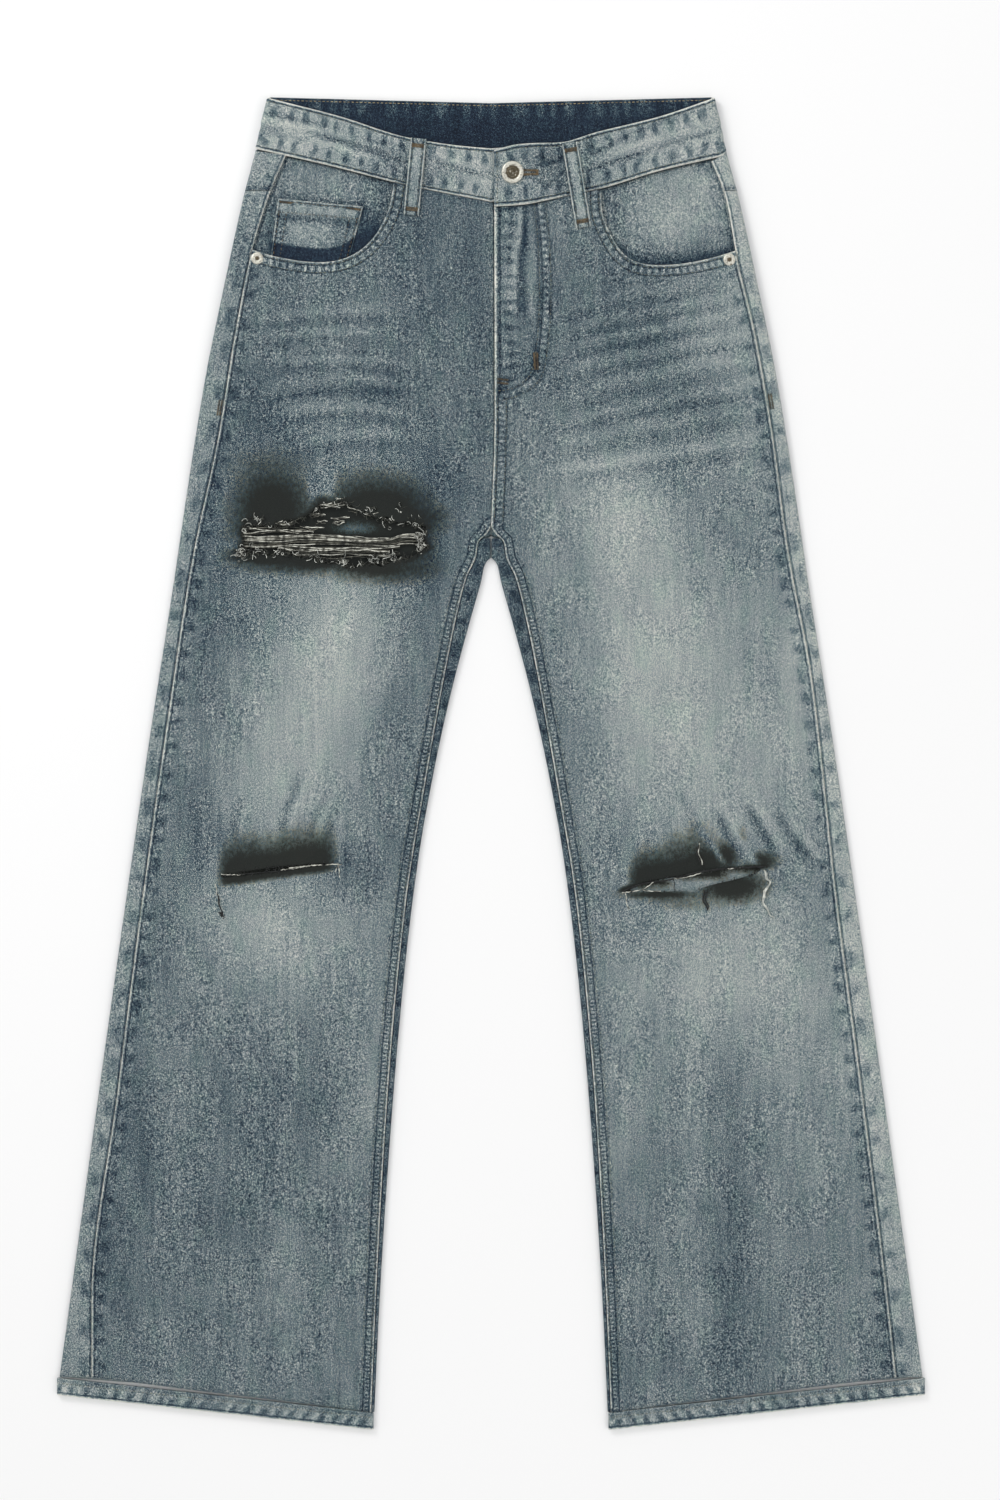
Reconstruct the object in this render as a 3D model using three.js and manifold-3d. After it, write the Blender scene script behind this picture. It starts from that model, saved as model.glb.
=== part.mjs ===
// Ripped wide-leg denim jeans, lying flat on their back with the front side up.
//
// Frame, in millimetres: +Y runs up the garment to the waist, +X runs to the wearer's left,
// and +Z runs up from the surface under the jeans, which is z = 0.
// The origin is under the middle of the whole outline.
//
// Every piece of cloth is a thin closed wall. The back panels and yokes are wider than the
// front panels, so they fold round both edges of each leg and meet the front on its face.

import * as THREE from "three";
import { mergeVertices } from "three/addons/utils/BufferGeometryUtils.js";
import Module from "manifold-3d";

const wasm = await Module();
wasm.setup();

// ---- Thicknesses and clearances ----

const CLOTH = 1.0; // one ply of denim
const SEAM_GAP = 0.3; // clearance where two pieces meet
const HALF_GAP = SEAM_GAP / 2;
const BAND_THICKNESS = 2.4; // the waistband's two plies and their turned edges
const HEM_THICKNESS = 1.6; // cloth turned up on itself
const HEM_HEIGHT = 14;
const HEM_TOP = 3.6; // upper face of the hem's front ply
const LOOP_WIDTH = 12;
const LOOP_THICKNESS = 1.2;

// ---- Heights above the surface ----

const FRONT_TOP_LEG = 3.2; // upper face of the front ply over the legs
const FRONT_TOP_HIP = 6.5; // the same over the hips, where pocket cloth lies under it
const FRONT_RAMP = [190, 385]; // Y over which the front ply rises from one to the other
const BACK_LIFT = 1.3; // underside of the back ply where it lies on the back pockets
const BACK_RAMP = [200, 235]; // Y over which the back ply rises on to the pockets
const FACING_TOP = 3.9;
const COIN_POCKET_TOP = 5.2;
const BAND_TOP = 6.9; // upper face of the waistband's front
const OVERLAP_RISE = BAND_THICKNESS + SEAM_GAP; // lift of the buttoned end over the other one
const OVERLAP_RAMP = [40, 54]; // X over which the buttoned end comes down again
const UNDERLAP_END = 38; // X at which the hidden end of the band stops

// ---- Reach of the cutting tools ----

const CUT_TOP = 12; // above everything
const CUT_CLEAR_Y = 520; // above the front panels' top edge
const TEAR_FLOOR = 1; // tears cut from here up, so that only the front ply is cut
const TEAR_TOP = 8;
const HOLE_STEPS = 16;

// ---- Outlines of the wearer's left half, as [x, y] from the waist down ----

const OUTER_EDGE = [
  [176.5, 526.5],
  [186, 485],
  [196.5, 443],
  [211.5, 374],
  [224.5, 311],
  [240, 216],
  [250.5, 145],
  [270, 19],
  [297.5, -171],
  [324, -361],
  [343, -499],
];
const INNER_EDGE = [
  [HALF_GAP, 162.5],
  [4, 159],
  [8, 143],
  [16.5, 113],
  [33, 50],
  [46.5, -13],
  [57.5, -76],
  [69, -171],
  [79.8, -297],
  [88, -424],
  [92.8, -526.5],
];
const INSEAM = [
  [HALF_GAP, 187],
  [3, 182],
  [10, 175],
  [12, 163],
  [19, 148],
  [27.5, 115],
  [35.5, 76],
  [51.5, -13],
  [67, -108],
  [82, -266],
  [91, -424],
  [95, -520],
];

// ---- Lines that differ between the two sides, as distances from the middle ----

const SIDE_SEAM = {
  right: [
    [160, 484],
    [174.5, 450],
    [190, 399],
    [202, 339],
    [215.5, 257],
    [236, 161],
    [255.5, 34],
    [275.5, -108],
    [295, -259],
    [316, -424],
    [315, -501],
  ],
  left: [
    [170, 484],
    [184.5, 449],
    [194, 399],
    [208, 341],
    [222, 262],
    [234.5, 170],
    [253, 70],
    [273, -107],
    [293, -259],
    [314, -430],
    [321.5, -500],
  ],
};
const FRONT_BAND_SEAM = {
  right: [
    [0, 443],
    [65, 456],
    [128, 472],
    [186, 485],
  ],
  left: [
    [0, 439],
    [24, 440.5],
    [56, 447],
    [86, 453.5],
    [134, 468],
    [186, 480],
  ],
};
const FRONT_BAND_EDGE = {
  right: [
    [0, 485.5],
    [23, 487.5],
    [65, 494],
    [120, 511],
    [176.5, 525.5],
  ],
  left: [
    [0, 483],
    [22, 488.5],
    [56, 490.5],
    [82, 498],
    [134, 511],
    [176.5, 525.5],
  ],
};
const POCKET_MOUTH = {
  right: [
    [77, 456],
    [80, 437.5],
    [88, 421],
    [98, 408.5],
    [110.5, 400],
    [125.5, 395.5],
    [143, 395.5],
    [158, 397.5],
    [175, 401],
    [196, 408],
  ],
  left: [
    [87, 452],
    [87, 436],
    [92, 421],
    [102, 404],
    [112, 396],
    [126, 393],
    [146.5, 393.5],
    [167, 397],
    [182, 401],
    [200, 407],
  ],
};

// ---- Lines shared by both sides ----

const CENTRE_FRONT = [
  [2.5, 443],
  [2.8, 272],
  [0, 187],
];
const BACK_BAND_EDGE = [
  [0, 521.8],
  [176.5, 526.5],
];
const BACK_BAND_SEAM = [
  [0, 481.8],
  [186, 486],
];
const YOKE_SEAM = [
  [0, 405],
  [194, 452],
];
const YOKE_ROW = YOKE_SEAM[1][1] - HALF_GAP;
const HEM_LINE = [
  [93, -526.5],
  [343, -499],
];
const BAND_CORNER_TOP = OUTER_EDGE[0][0];
const BAND_CORNER_BOTTOM = OUTER_EDGE[1][0];
const CROTCH_TOP = 187; // where the two inseams meet the centre front seam
const TONGUE_TOP = 178; // the back ply is folded round on to the front up to here

// ---- Tears, on the front panels ----

const THIGH_RIP = [
  [-197, 188],
  [-178, 188.5],
  [-141, 199],
  [-130, 207],
  [-114.5, 208],
  [-105.5, 200],
  [-92, 194],
  [-73, 190],
  [-51, 187.5],
  [-53, 170],
  [-66, 161],
  [-86, 155],
  [-116, 156],
  [-138, 162],
  [-151, 165],
  [-198, 165],
];
const RIGHT_KNEE_SLIT = [
  [-214, -88],
  [-190, -84],
  [-160, -80.5],
  [-117.5, -78.5],
  [-160, -83.5],
  [-190, -86.5],
];
const LEFT_KNEE_SLIT = [
  [103.5, -102],
  [114.5, -97.5],
  [126.5, -92.5],
  [143.5, -90],
  [162.5, -87.5],
  [181, -83],
  [199, -82],
  [218.5, -82.5],
  [199, -90.5],
  [175, -95.5],
  [165, -99],
  [146, -101],
  [124, -101.5],
];

// ---- Pocket cloth, loops and hardware ----

const FACING_TUCK = 15; // how far a pocket facing runs on under the front panel
const COIN_POCKET = [
  [-168, 446],
  [-101, 439.5],
  [-114.5, 389],
  [-174.5, 394],
];
const BACK_POCKET = [
  [21, 392],
  [169, 415],
  [171, 275],
  [97, 246],
  [27, 262],
];
const FRONT_LOOPS = {
  right: { top: [-57, 493], bottom: [-63, 432.5] },
  left: { top: [62, 489.5], bottom: [73, 423] },
};
const SIDE_LOOP_X = 122;
const LOOP_OVERHANG = 8; // how far a back loop runs below the band's seam
const BUTTON_PLACE = [17, 466];
const BUTTON_RADIUS = 8.8;
const SHANK_RADIUS = 2.2;
const BUTTONHOLE_EYE = 3;
const BUTTONHOLE_SLIT = 1.6;
const BUTTONHOLE_END = 38;
const RIVETS = { right: [-184.5, 398.5], left: [188, 397.5] };
const RIVET_RADIUS = 4.8;
const RIVET_POST_RADIUS = 1.3;

const SIDES = { right: -1, left: 1 };

// ---- Reading the outlines ----

const mix = THREE.MathUtils.lerp;

function ramp(value, [start, end]) {
  return THREE.MathUtils.clamp((value - start) / (end - start), 0, 1);
}

// The distance from the middle at height y, on a line listed from the waist down.
function xAt(line, y) {
  const below = line.findIndex((point) => point[1] <= y);
  const end = below < 0 ? line.length - 1 : Math.max(below, 1);
  const [x0, y0] = line[end - 1];
  const [x1, y1] = line[end];
  return mix(x0, x1, (y - y0) / (y1 - y0));
}

// The height at distance x from the middle, on a line listed outwards.
function yAt(line, x) {
  const beyond = line.findIndex((point) => point[0] >= x);
  const end = beyond < 0 ? line.length - 1 : Math.max(beyond, 1);
  const [x0, y0] = line[end - 1];
  const [x1, y1] = line[end];
  return mix(y0, y1, (x - x0) / (x1 - x0));
}

const frontTop = (y) => mix(FRONT_TOP_LEG, FRONT_TOP_HIP, ramp(y, FRONT_RAMP));
const backLift = (y) => BACK_LIFT * ramp(y, BACK_RAMP);
const foldRadius = (y) => (frontTop(y) - backLift(y)) / 2;

// A row is a cut across a panel, named by its height at the panel's outer edge. It is level over
// the leg, turns to follow the hem line near the hem, and turns to follow the line that the panel
// ends on near the waist. share runs from 0 at the inner edge to 1 at the outer edge.
const HEM_SLANT = HEM_LINE[1][1] - HEM_LINE[0][1];
const HEM_ROW = HEM_LINE[1][1] + HEM_HEIGHT + HALF_GAP;
const HEM_BLEND = [-380, HEM_ROW];
const SLANT_START = 262;

function rowHeight(row, share, top) {
  const rise = yAt(top.line, mix(top.innerX, top.outerX, share)) - yAt(top.line, top.outerX);
  const hemDrop = HEM_SLANT * (share - 1);
  return row + rise * ramp(row, [SLANT_START, top.row]) + hemDrop * ramp(row, HEM_BLEND);
}

// Rows that the front and back panels share, so that their edges match along every seam.
const LEG_ROWS = [
  HEM_ROW, -440, -380, -297, -234, -171, -108, -45, 19, 82, 113, 139, 155, 165, 172, TONGUE_TOP,
  183, CROTCH_TOP, 200, 217, 235, 262, 300, 341, 374, 399, 425,
];

// ---- Making closed walls ----

function signedVolume(points, faces) {
  let volume = 0;
  for (const [a, b, c] of faces) {
    volume += points[a].dot(new THREE.Vector3().crossVectors(points[b], points[c]));
  }
  return volume / 6;
}

// Points and triangles as a geometry whose faces all point outwards.
function closedGeometry(points, faces) {
  const inward = signedVolume(points, faces) < 0;
  const index = faces.flatMap(([a, b, c]) => (inward ? [a, c, b] : [a, b, c]));
  const geometry = new THREE.BufferGeometry().setFromPoints(points);
  geometry.setIndex(index);
  geometry.computeVertexNormals();
  return geometry;
}

// A wall between two grids of points, with a rim round its edges. A grid that runs round in a
// loop has no rim where its last column joins its first.
function wallBetween(outer, inner, loops = false) {
  const rows = outer.length;
  const columns = outer[0].length;
  const points = [...outer.flat(), ...inner.flat()];
  const outside = (row, column) => row * columns + (column % columns);
  const inside = (row, column) => rows * columns + outside(row, column);
  const faces = [];
  const quad = (a, b, c, d) => faces.push([a, b, c], [a, c, d]);
  const lastColumn = loops ? columns : columns - 1;
  for (let row = 0; row < rows - 1; row += 1) {
    for (let column = 0; column < lastColumn; column += 1) {
      const next = column + 1;
      quad(outside(row, column), outside(row, next), outside(row + 1, next), outside(row + 1, column));
      quad(inside(row, column), inside(row + 1, column), inside(row + 1, next), inside(row, next));
    }
  }
  for (let column = 0; column < lastColumn; column += 1) {
    const next = column + 1;
    const top = rows - 1;
    quad(outside(0, next), outside(0, column), inside(0, column), inside(0, next));
    quad(outside(top, column), outside(top, next), inside(top, next), inside(top, column));
  }
  for (let row = 0; row < rows - 1 && !loops; row += 1) {
    quad(outside(row, 0), outside(row + 1, 0), inside(row + 1, 0), inside(row, 0));
    const low = [outside(row, lastColumn), inside(row, lastColumn)];
    const high = [outside(row + 1, lastColumn), inside(row + 1, lastColumn)];
    quad(high[0], low[0], low[1], high[1]);
  }
  return closedGeometry(points, faces);
}

// A flat sheet of cloth under a grid of points on its upper face.
function sheetUnder(grid, thickness) {
  const drop = new THREE.Vector3(0, 0, thickness);
  const under = grid.map((row) => row.map((point) => point.clone().sub(drop)));
  return wallBetween(grid, under);
}

// A flat slab with the given outline, from one height to another.
function slab(outline, bottom, top) {
  const shape = new THREE.Shape(outline.map(([x, y]) => new THREE.Vector2(x, y)));
  const geometry = new THREE.ExtrudeGeometry(shape, { depth: top - bottom, bevelEnabled: false });
  return geometry.translate(0, 0, bottom);
}

function toSolid(geometry) {
  const plain = geometry.clone();
  plain.deleteAttribute("normal");
  plain.deleteAttribute("uv");
  const merged = mergeVertices(plain, 1e-4);
  return new wasm.Manifold(
    new wasm.Mesh({
      numProp: 3,
      vertProperties: new Float32Array(merged.getAttribute("position").array),
      triVerts: new Uint32Array(merged.index.array),
    }),
  );
}

function toGeometry(solid) {
  const mesh = solid.getMesh();
  const geometry = new THREE.BufferGeometry();
  geometry.setAttribute("position", new THREE.BufferAttribute(mesh.vertProperties, 3));
  geometry.setIndex(new THREE.BufferAttribute(mesh.triVerts, 1));
  geometry.computeVertexNormals();
  return geometry;
}

function cutAway(geometry, cutters) {
  const solid = cutters.reduce((left, cutter) => left.subtract(toSolid(cutter)), toSolid(geometry));
  return toGeometry(solid);
}

// ---- Front panels ----

const FRONT_COLUMNS = 10;

function frontInnerEdge(side, y) {
  const line = y >= CROTCH_TOP ? SIDES[side] * xAt(CENTRE_FRONT, y) : xAt(INSEAM, y);
  return line + HALF_GAP;
}

function frontPanelSheet(side) {
  const [outerX, seamTop] = SIDE_SEAM[side][0];
  const innerX = frontInnerEdge(side, CENTRE_FRONT[0][1]);
  const line = FRONT_BAND_SEAM[side];
  const top = { line, innerX, outerX, row: yAt(line, outerX) };
  const rows = [...LEG_ROWS, YOKE_ROW, top.row - SEAM_GAP];
  const grid = rows.map((row) => {
    const inner = frontInnerEdge(side, rowHeight(row, 0, top));
    const outer = xAt(SIDE_SEAM[side], Math.min(row, seamTop)) - HALF_GAP;
    return Array.from({ length: FRONT_COLUMNS + 1 }, (_, column) => {
      const share = column / FRONT_COLUMNS;
      const y = rowHeight(row, share, top);
      return new THREE.Vector3(SIDES[side] * mix(inner, outer, share), y, frontTop(y));
    });
  });
  return sheetUnder(grid, CLOTH);
}

// Everything above the pocket's mouth, out past the side seam and up past the waistband.
function pocketMouthCutter(side) {
  const mouth = POCKET_MOUTH[side];
  const corner = mouth[mouth.length - 1];
  const region = [...mouth, [corner[0], CUT_CLEAR_Y], [mouth[0][0], CUT_CLEAR_Y]];
  return slab(region.map(([x, y]) => [SIDES[side] * x, y]), 0, CUT_TOP);
}

function rivetHole([x, y]) {
  const radius = RIVET_POST_RADIUS + SEAM_GAP;
  const hole = new THREE.CylinderGeometry(radius, radius, CUT_TOP, HOLE_STEPS);
  return hole.rotateX(Math.PI / 2).translate(x, y, CUT_TOP / 2);
}

function frontPanel(side) {
  const tear = (outline) => slab(outline, TEAR_FLOOR, TEAR_TOP);
  const tears = {
    right: [tear(THIGH_RIP), tear(RIGHT_KNEE_SLIT)],
    left: [tear(LEFT_KNEE_SLIT)],
  };
  const cutters = [pocketMouthCutter(side), rivetHole(RIVETS[side]), ...tears[side]];
  return cutAway(frontPanelSheet(side), cutters);
}

// ---- Back panels and yokes ----

const FOLD_STEPS = 4;
const UNDER_COLUMNS = 7;
const CENTRE_STEP = 1.5; // spacing of the columns that lie flat above the crotch

// A point pair on a fold: the outer and inner faces of a ply turned through an angle.
function foldPair(centreX, y, angle) {
  const radius = foldRadius(y);
  const centreZ = backLift(y) + radius;
  const pair = [radius, radius - CLOTH].map(
    (r) => new THREE.Vector3(centreX + r * Math.cos(angle), y, centreZ + r * Math.sin(angle)),
  );
  return { outer: pair[0], inner: pair[1] };
}

function flatPair(x, y, underside) {
  return {
    outer: new THREE.Vector3(x, y, underside),
    inner: new THREE.Vector3(x, y, underside + CLOTH),
  };
}

function frontFacePair(x, y) {
  return {
    outer: new THREE.Vector3(x, y, frontTop(y)),
    inner: new THREE.Vector3(x, y, frontTop(y) - CLOTH),
  };
}

// The inner end of a back panel's row: folded round on to the front along the inseam, or
// ending at the centre back seam above the crotch.
function innerEnd(row, top) {
  const pairs = [];
  const y = rowHeight(row, 0, top);
  if (row > TONGUE_TOP) {
    for (let step = 0; step <= FOLD_STEPS + 1; step += 1) {
      pairs.push(flatPair(HALF_GAP + step * CENTRE_STEP, y, backLift(y)));
    }
    return pairs;
  }
  const centreX = xAt(INNER_EDGE, Math.min(y, INNER_EDGE[0][1])) + foldRadius(y);
  pairs.push(frontFacePair(xAt(INSEAM, y) - HALF_GAP, y));
  for (let step = 0; step <= FOLD_STEPS; step += 1) {
    pairs.push(foldPair(centreX, y, Math.PI * (0.5 + step / FOLD_STEPS)));
  }
  return pairs;
}

function outerEnd(edgeX, y, seamX) {
  const pairs = [];
  const centreX = edgeX - foldRadius(y);
  for (let step = 0; step <= FOLD_STEPS; step += 1) {
    pairs.push(foldPair(centreX, y, Math.PI * (step / FOLD_STEPS - 0.5)));
  }
  pairs.push(frontFacePair(seamX, y));
  return pairs;
}

// Columns across the underside, between the last pair of one end and the first of the other.
function underside(from, to, heightAt) {
  const pairs = [];
  for (let column = 1; column < UNDER_COLUMNS; column += 1) {
    const x = mix(from.outer.x, to.outer.x, column / UNDER_COLUMNS);
    const y = heightAt(x);
    pairs.push(flatPair(x, y, backLift(y)));
  }
  return pairs;
}

function wallFromPairs(rows, side) {
  const place = (point) => new THREE.Vector3(SIDES[side] * point.x, point.y, point.z);
  return wallBetween(
    rows.map((row) => row.map((pair) => place(pair.outer))),
    rows.map((row) => row.map((pair) => place(pair.inner))),
  );
}

function backPanel(side) {
  const outerX = xAt(OUTER_EDGE, YOKE_ROW);
  const top = { line: YOKE_SEAM, innerX: HALF_GAP, outerX, row: YOKE_ROW };
  const rows = [...LEG_ROWS, YOKE_ROW].map((row) => {
    const edgeX = xAt(OUTER_EDGE, row);
    const inner = innerEnd(row, top);
    const outer = outerEnd(edgeX, row, xAt(SIDE_SEAM[side], row) + HALF_GAP);
    const heightAt = (x) => rowHeight(row, x / edgeX, top);
    return [...inner, ...underside(inner.at(-1), outer[0], heightAt), ...outer];
  });
  return wallFromPairs(rows, side);
}

const YOKE_CUTS = 4;

// The yoke fills the space between the back panel and the waistband, and folds round the side.
function yoke(side) {
  const low = YOKE_ROW + SEAM_GAP;
  const foldX = BAND_CORNER_BOTTOM;
  const frontSeam = yAt(FRONT_BAND_SEAM[side], SIDE_SEAM[side][0][0]) - SEAM_GAP;
  const backSeam = yAt(BACK_BAND_SEAM, foldX) - SEAM_GAP;
  const rows = Array.from({ length: YOKE_CUTS + 1 }, (_, cut) => {
    const share = cut / YOKE_CUTS;
    const heightAt = (x) => {
      const lowest = Math.min(yAt(YOKE_SEAM, x) + SEAM_GAP, low);
      return mix(lowest, yAt(BACK_BAND_SEAM, x) - SEAM_GAP, share);
    };
    const edgeY = mix(low, backSeam, share);
    const outer = outerEnd(xAt(OUTER_EDGE, edgeY), edgeY, 0);
    outer.forEach((pair, index) => {
      const y = mix(edgeY, mix(low, frontSeam, share), index / (outer.length - 1));
      pair.outer.y = y;
      pair.inner.y = y;
    });
    const seamPair = outer.at(-1);
    seamPair.outer.x = xAt(SIDE_SEAM[side], seamPair.outer.y) + HALF_GAP;
    seamPair.inner.x = seamPair.outer.x;
    const centre = flatPair(HALF_GAP, heightAt(0), BACK_LIFT);
    return [centre, ...underside(centre, outer[0], heightAt), ...outer];
  });
  return wallFromPairs(rows, side);
}

// ---- Waistband ----

const BAND_COLUMNS = 12;
const BAND_FOLD_STEPS = 6;
const BAND_FOLD_RADIUS = (BAND_TOP - BACK_LIFT) / 2;

// A station is a cut through the band: its top and bottom ends and its two faces.
function bandStation(topX, topY, bottomX, bottomY, outerZ, innerZ) {
  return {
    outer: [new THREE.Vector3(bottomX, bottomY, outerZ), new THREE.Vector3(topX, topY, outerZ)],
    inner: [new THREE.Vector3(bottomX, bottomY, innerZ), new THREE.Vector3(topX, topY, innerZ)],
  };
}

function frontBandStation(side, x, lift) {
  const share = Math.abs(x) / (BAND_CORNER_BOTTOM - BAND_FOLD_RADIUS);
  const topX = Math.sign(x) * share * (BAND_CORNER_TOP - BAND_FOLD_RADIUS);
  const topY = yAt(FRONT_BAND_EDGE[side], Math.abs(topX));
  const bottomY = yAt(FRONT_BAND_SEAM[side], Math.abs(x));
  return bandStation(topX, topY, x, bottomY, BAND_TOP + lift, BAND_TOP - BAND_THICKNESS + lift);
}

function bandFold(side) {
  const stations = [];
  const sign = SIDES[side];
  for (let step = 1; step < BAND_FOLD_STEPS; step += 1) {
    const share = step / BAND_FOLD_STEPS;
    const angle = Math.PI * (0.5 - share);
    const faces = [BAND_FOLD_RADIUS, BAND_FOLD_RADIUS - BAND_THICKNESS].map((radius) => {
      const reach = radius * Math.cos(angle) - BAND_FOLD_RADIUS;
      const z = BACK_LIFT + BAND_FOLD_RADIUS + radius * Math.sin(angle);
      const topY = mix(FRONT_BAND_EDGE[side].at(-1)[1], BACK_BAND_EDGE.at(-1)[1], share);
      const bottomY = mix(FRONT_BAND_SEAM[side].at(-1)[1], BACK_BAND_SEAM.at(-1)[1], share);
      return [
        new THREE.Vector3(sign * (BAND_CORNER_BOTTOM + reach), bottomY, z),
        new THREE.Vector3(sign * (BAND_CORNER_TOP + reach), topY, z),
      ];
    });
    stations.push({ outer: faces[0], inner: faces[1] });
  }
  return stations;
}

function backBandStation(x) {
  const share = Math.abs(x) / (BAND_CORNER_BOTTOM - BAND_FOLD_RADIUS);
  const topX = Math.sign(x) * share * (BAND_CORNER_TOP - BAND_FOLD_RADIUS);
  const topY = yAt(BACK_BAND_EDGE, Math.abs(topX));
  const bottomY = yAt(BACK_BAND_SEAM, Math.abs(x));
  return bandStation(topX, topY, x, bottomY, BACK_LIFT, BACK_LIFT + BAND_THICKNESS);
}

// The buttonhole: a round eye for the shank and a slit towards the wearer's left.
function buttonholeCutter() {
  const [x, y] = BUTTON_PLACE;
  const reach = Math.asin(BUTTONHOLE_SLIT / 2 / BUTTONHOLE_EYE);
  const outline = new THREE.Shape();
  outline.absarc(x, y, BUTTONHOLE_EYE, reach, 2 * Math.PI - reach, false);
  outline.lineTo(BUTTONHOLE_END, y - BUTTONHOLE_SLIT / 2);
  outline.lineTo(BUTTONHOLE_END, y + BUTTONHOLE_SLIT / 2);
  const settings = { depth: CUT_TOP / 2, bevelEnabled: false, curveSegments: HOLE_STEPS };
  const cutter = new THREE.ExtrudeGeometry(outline, settings);
  return cutter.translate(0, 0, BAND_TOP + HALF_GAP / 2);
}

const UNDERLAP_STATIONS = [UNDERLAP_END, UNDERLAP_END / 2, 1];
const OVERLAP_STATIONS = [OVERLAP_RAMP[1], mix(...OVERLAP_RAMP, 0.5), OVERLAP_RAMP[0], 24, 2.5];
const LEFT_FRONT_STATIONS = [160, 140, 120, 100, 86, 70, ...OVERLAP_STATIONS];

// The band is one strip: from its hidden end under the button, round the wearer's right side,
// across the back, round the left side, and on to the buttoned end.
function waistband() {
  const flatEnd = BAND_CORNER_BOTTOM - BAND_FOLD_RADIUS;
  const stations = [];
  for (const x of UNDERLAP_STATIONS) {
    stations.push(frontBandStation("right", x, 0));
  }
  for (let column = 1; column <= BAND_COLUMNS; column += 1) {
    stations.push(frontBandStation("right", (-flatEnd * column) / BAND_COLUMNS, 0));
  }
  stations.push(...bandFold("right"));
  for (let column = 0; column <= 2 * BAND_COLUMNS; column += 1) {
    stations.push(backBandStation(flatEnd * (column / BAND_COLUMNS - 1)));
  }
  stations.push(...bandFold("left").reverse());
  for (const x of [flatEnd, ...LEFT_FRONT_STATIONS]) {
    stations.push(frontBandStation("left", x, OVERLAP_RISE * (1 - ramp(x, OVERLAP_RAMP))));
  }
  const strip = wallBetween(
    stations.map((station) => station.outer),
    stations.map((station) => station.inner),
  );
  return cutAway(strip, [buttonholeCutter()]);
}

// ---- Pockets ----

const FACING_ROWS = 5;
const FACING_COLUMNS = 7;
const FACING_LOW = 378;
const UNDER_STRIP = 3; // how far a facing runs on under the back panel's folded edge

function pocketFacing(side) {
  const mouthX = POCKET_MOUTH[side][0][0];
  const grid = Array.from({ length: FACING_ROWS + 1 }, (_, row) => {
    const share = row / FACING_ROWS;
    const corner = yAt(FRONT_BAND_SEAM[side], SIDE_SEAM[side][0][0]);
    const outerX = xAt(SIDE_SEAM[side], mix(FACING_LOW, corner, share)) + UNDER_STRIP;
    return Array.from({ length: FACING_COLUMNS + 1 }, (__, column) => {
      const x = mix(mouthX - FACING_TUCK, outerX, column / FACING_COLUMNS);
      const y = mix(FACING_LOW, yAt(FRONT_BAND_SEAM[side], x) - SEAM_GAP, share);
      return new THREE.Vector3(SIDES[side] * x, y, FACING_TOP);
    });
  });
  return sheetUnder(grid, CLOTH);
}

const coinPocket = () => slab(COIN_POCKET, COIN_POCKET_TOP - CLOTH, COIN_POCKET_TOP);

function backPocket(side) {
  return slab(BACK_POCKET.map(([x, y]) => [SIDES[side] * x, y]), 0, CLOTH);
}

// ---- Belt loops ----

// A strip of the loop's width along a line of points on its middle, given on its upper face.
function loopStrip(middle) {
  const along = middle.at(-1).clone().sub(middle[0]).setZ(0).normalize();
  const across = new THREE.Vector3(-along.y, along.x, 0).multiplyScalar(LOOP_WIDTH / 2);
  const grid = middle.map((point) => [point.clone().sub(across), point.clone().add(across)]);
  return sheetUnder(grid, LOOP_THICKNESS);
}

function frontLoop(side) {
  const { top, bottom } = FRONT_LOOPS[side];
  const onBand = BAND_TOP + SEAM_GAP + LOOP_THICKNESS;
  const onPanel = FRONT_TOP_HIP + SEAM_GAP + LOOP_THICKNESS;
  const stations = [
    [0, onBand],
    [0.5, onBand],
    [0.84, onBand],
    [1, onPanel],
  ];
  const pointAt = ([share, z]) => {
    const x = mix(top[0], bottom[0], share);
    const y = mix(top[1], bottom[1], share);
    return new THREE.Vector3(x, y, z);
  };
  return loopStrip(stations.map(pointAt));
}

function backLoop(x) {
  const top = yAt(BACK_BAND_EDGE, Math.abs(x));
  const bottom = yAt(BACK_BAND_SEAM, Math.abs(x)) - LOOP_OVERHANG;
  const outline = [
    [x - LOOP_WIDTH / 2, bottom],
    [x + LOOP_WIDTH / 2, bottom],
    [x + LOOP_WIDTH / 2, top],
    [x - LOOP_WIDTH / 2, top],
  ];
  return slab(outline, 0, CLOTH);
}

// ---- Hems ----

const HEM_COLUMNS = 7;
const HEM_FOLD_STEPS = 4;

// A flattened ring of turned-up cloth round the end of a leg.
function hem(side) {
  const radius = HEM_TOP / 2;
  const ringAt = (rise) => {
    const height = (x) => yAt(HEM_LINE, x) + rise;
    const inner = xAt(INNER_EDGE, height(HEM_LINE[0][0])) + radius;
    const outer = xAt(OUTER_EDGE, height(HEM_LINE[1][0])) - radius;
    const points = [];
    const add = (x, angle) => points.push({ x, angle });
    for (let column = 0; column < HEM_COLUMNS; column += 1) {
      add(mix(inner, outer, column / HEM_COLUMNS), -Math.PI / 2);
    }
    for (let step = 0; step < HEM_FOLD_STEPS; step += 1) {
      add(outer, Math.PI * (step / HEM_FOLD_STEPS - 0.5));
    }
    for (let column = 0; column < HEM_COLUMNS; column += 1) {
      add(mix(outer, inner, column / HEM_COLUMNS), Math.PI / 2);
    }
    for (let step = 0; step < HEM_FOLD_STEPS; step += 1) {
      add(inner, Math.PI * (step / HEM_FOLD_STEPS + 0.5));
    }
    const face = (r) => points.map(({ x, angle }) => {
      const foldX = x + r * Math.cos(angle);
      return new THREE.Vector3(SIDES[side] * foldX, height(foldX), radius + r * Math.sin(angle));
    });
    return { outer: face(radius), inner: face(radius - HEM_THICKNESS) };
  };
  const rings = [0, HEM_HEIGHT - HALF_GAP].map(ringAt);
  return wallBetween(
    rings.map((ring) => ring.outer),
    rings.map((ring) => ring.inner),
    true,
  );
}

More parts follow.
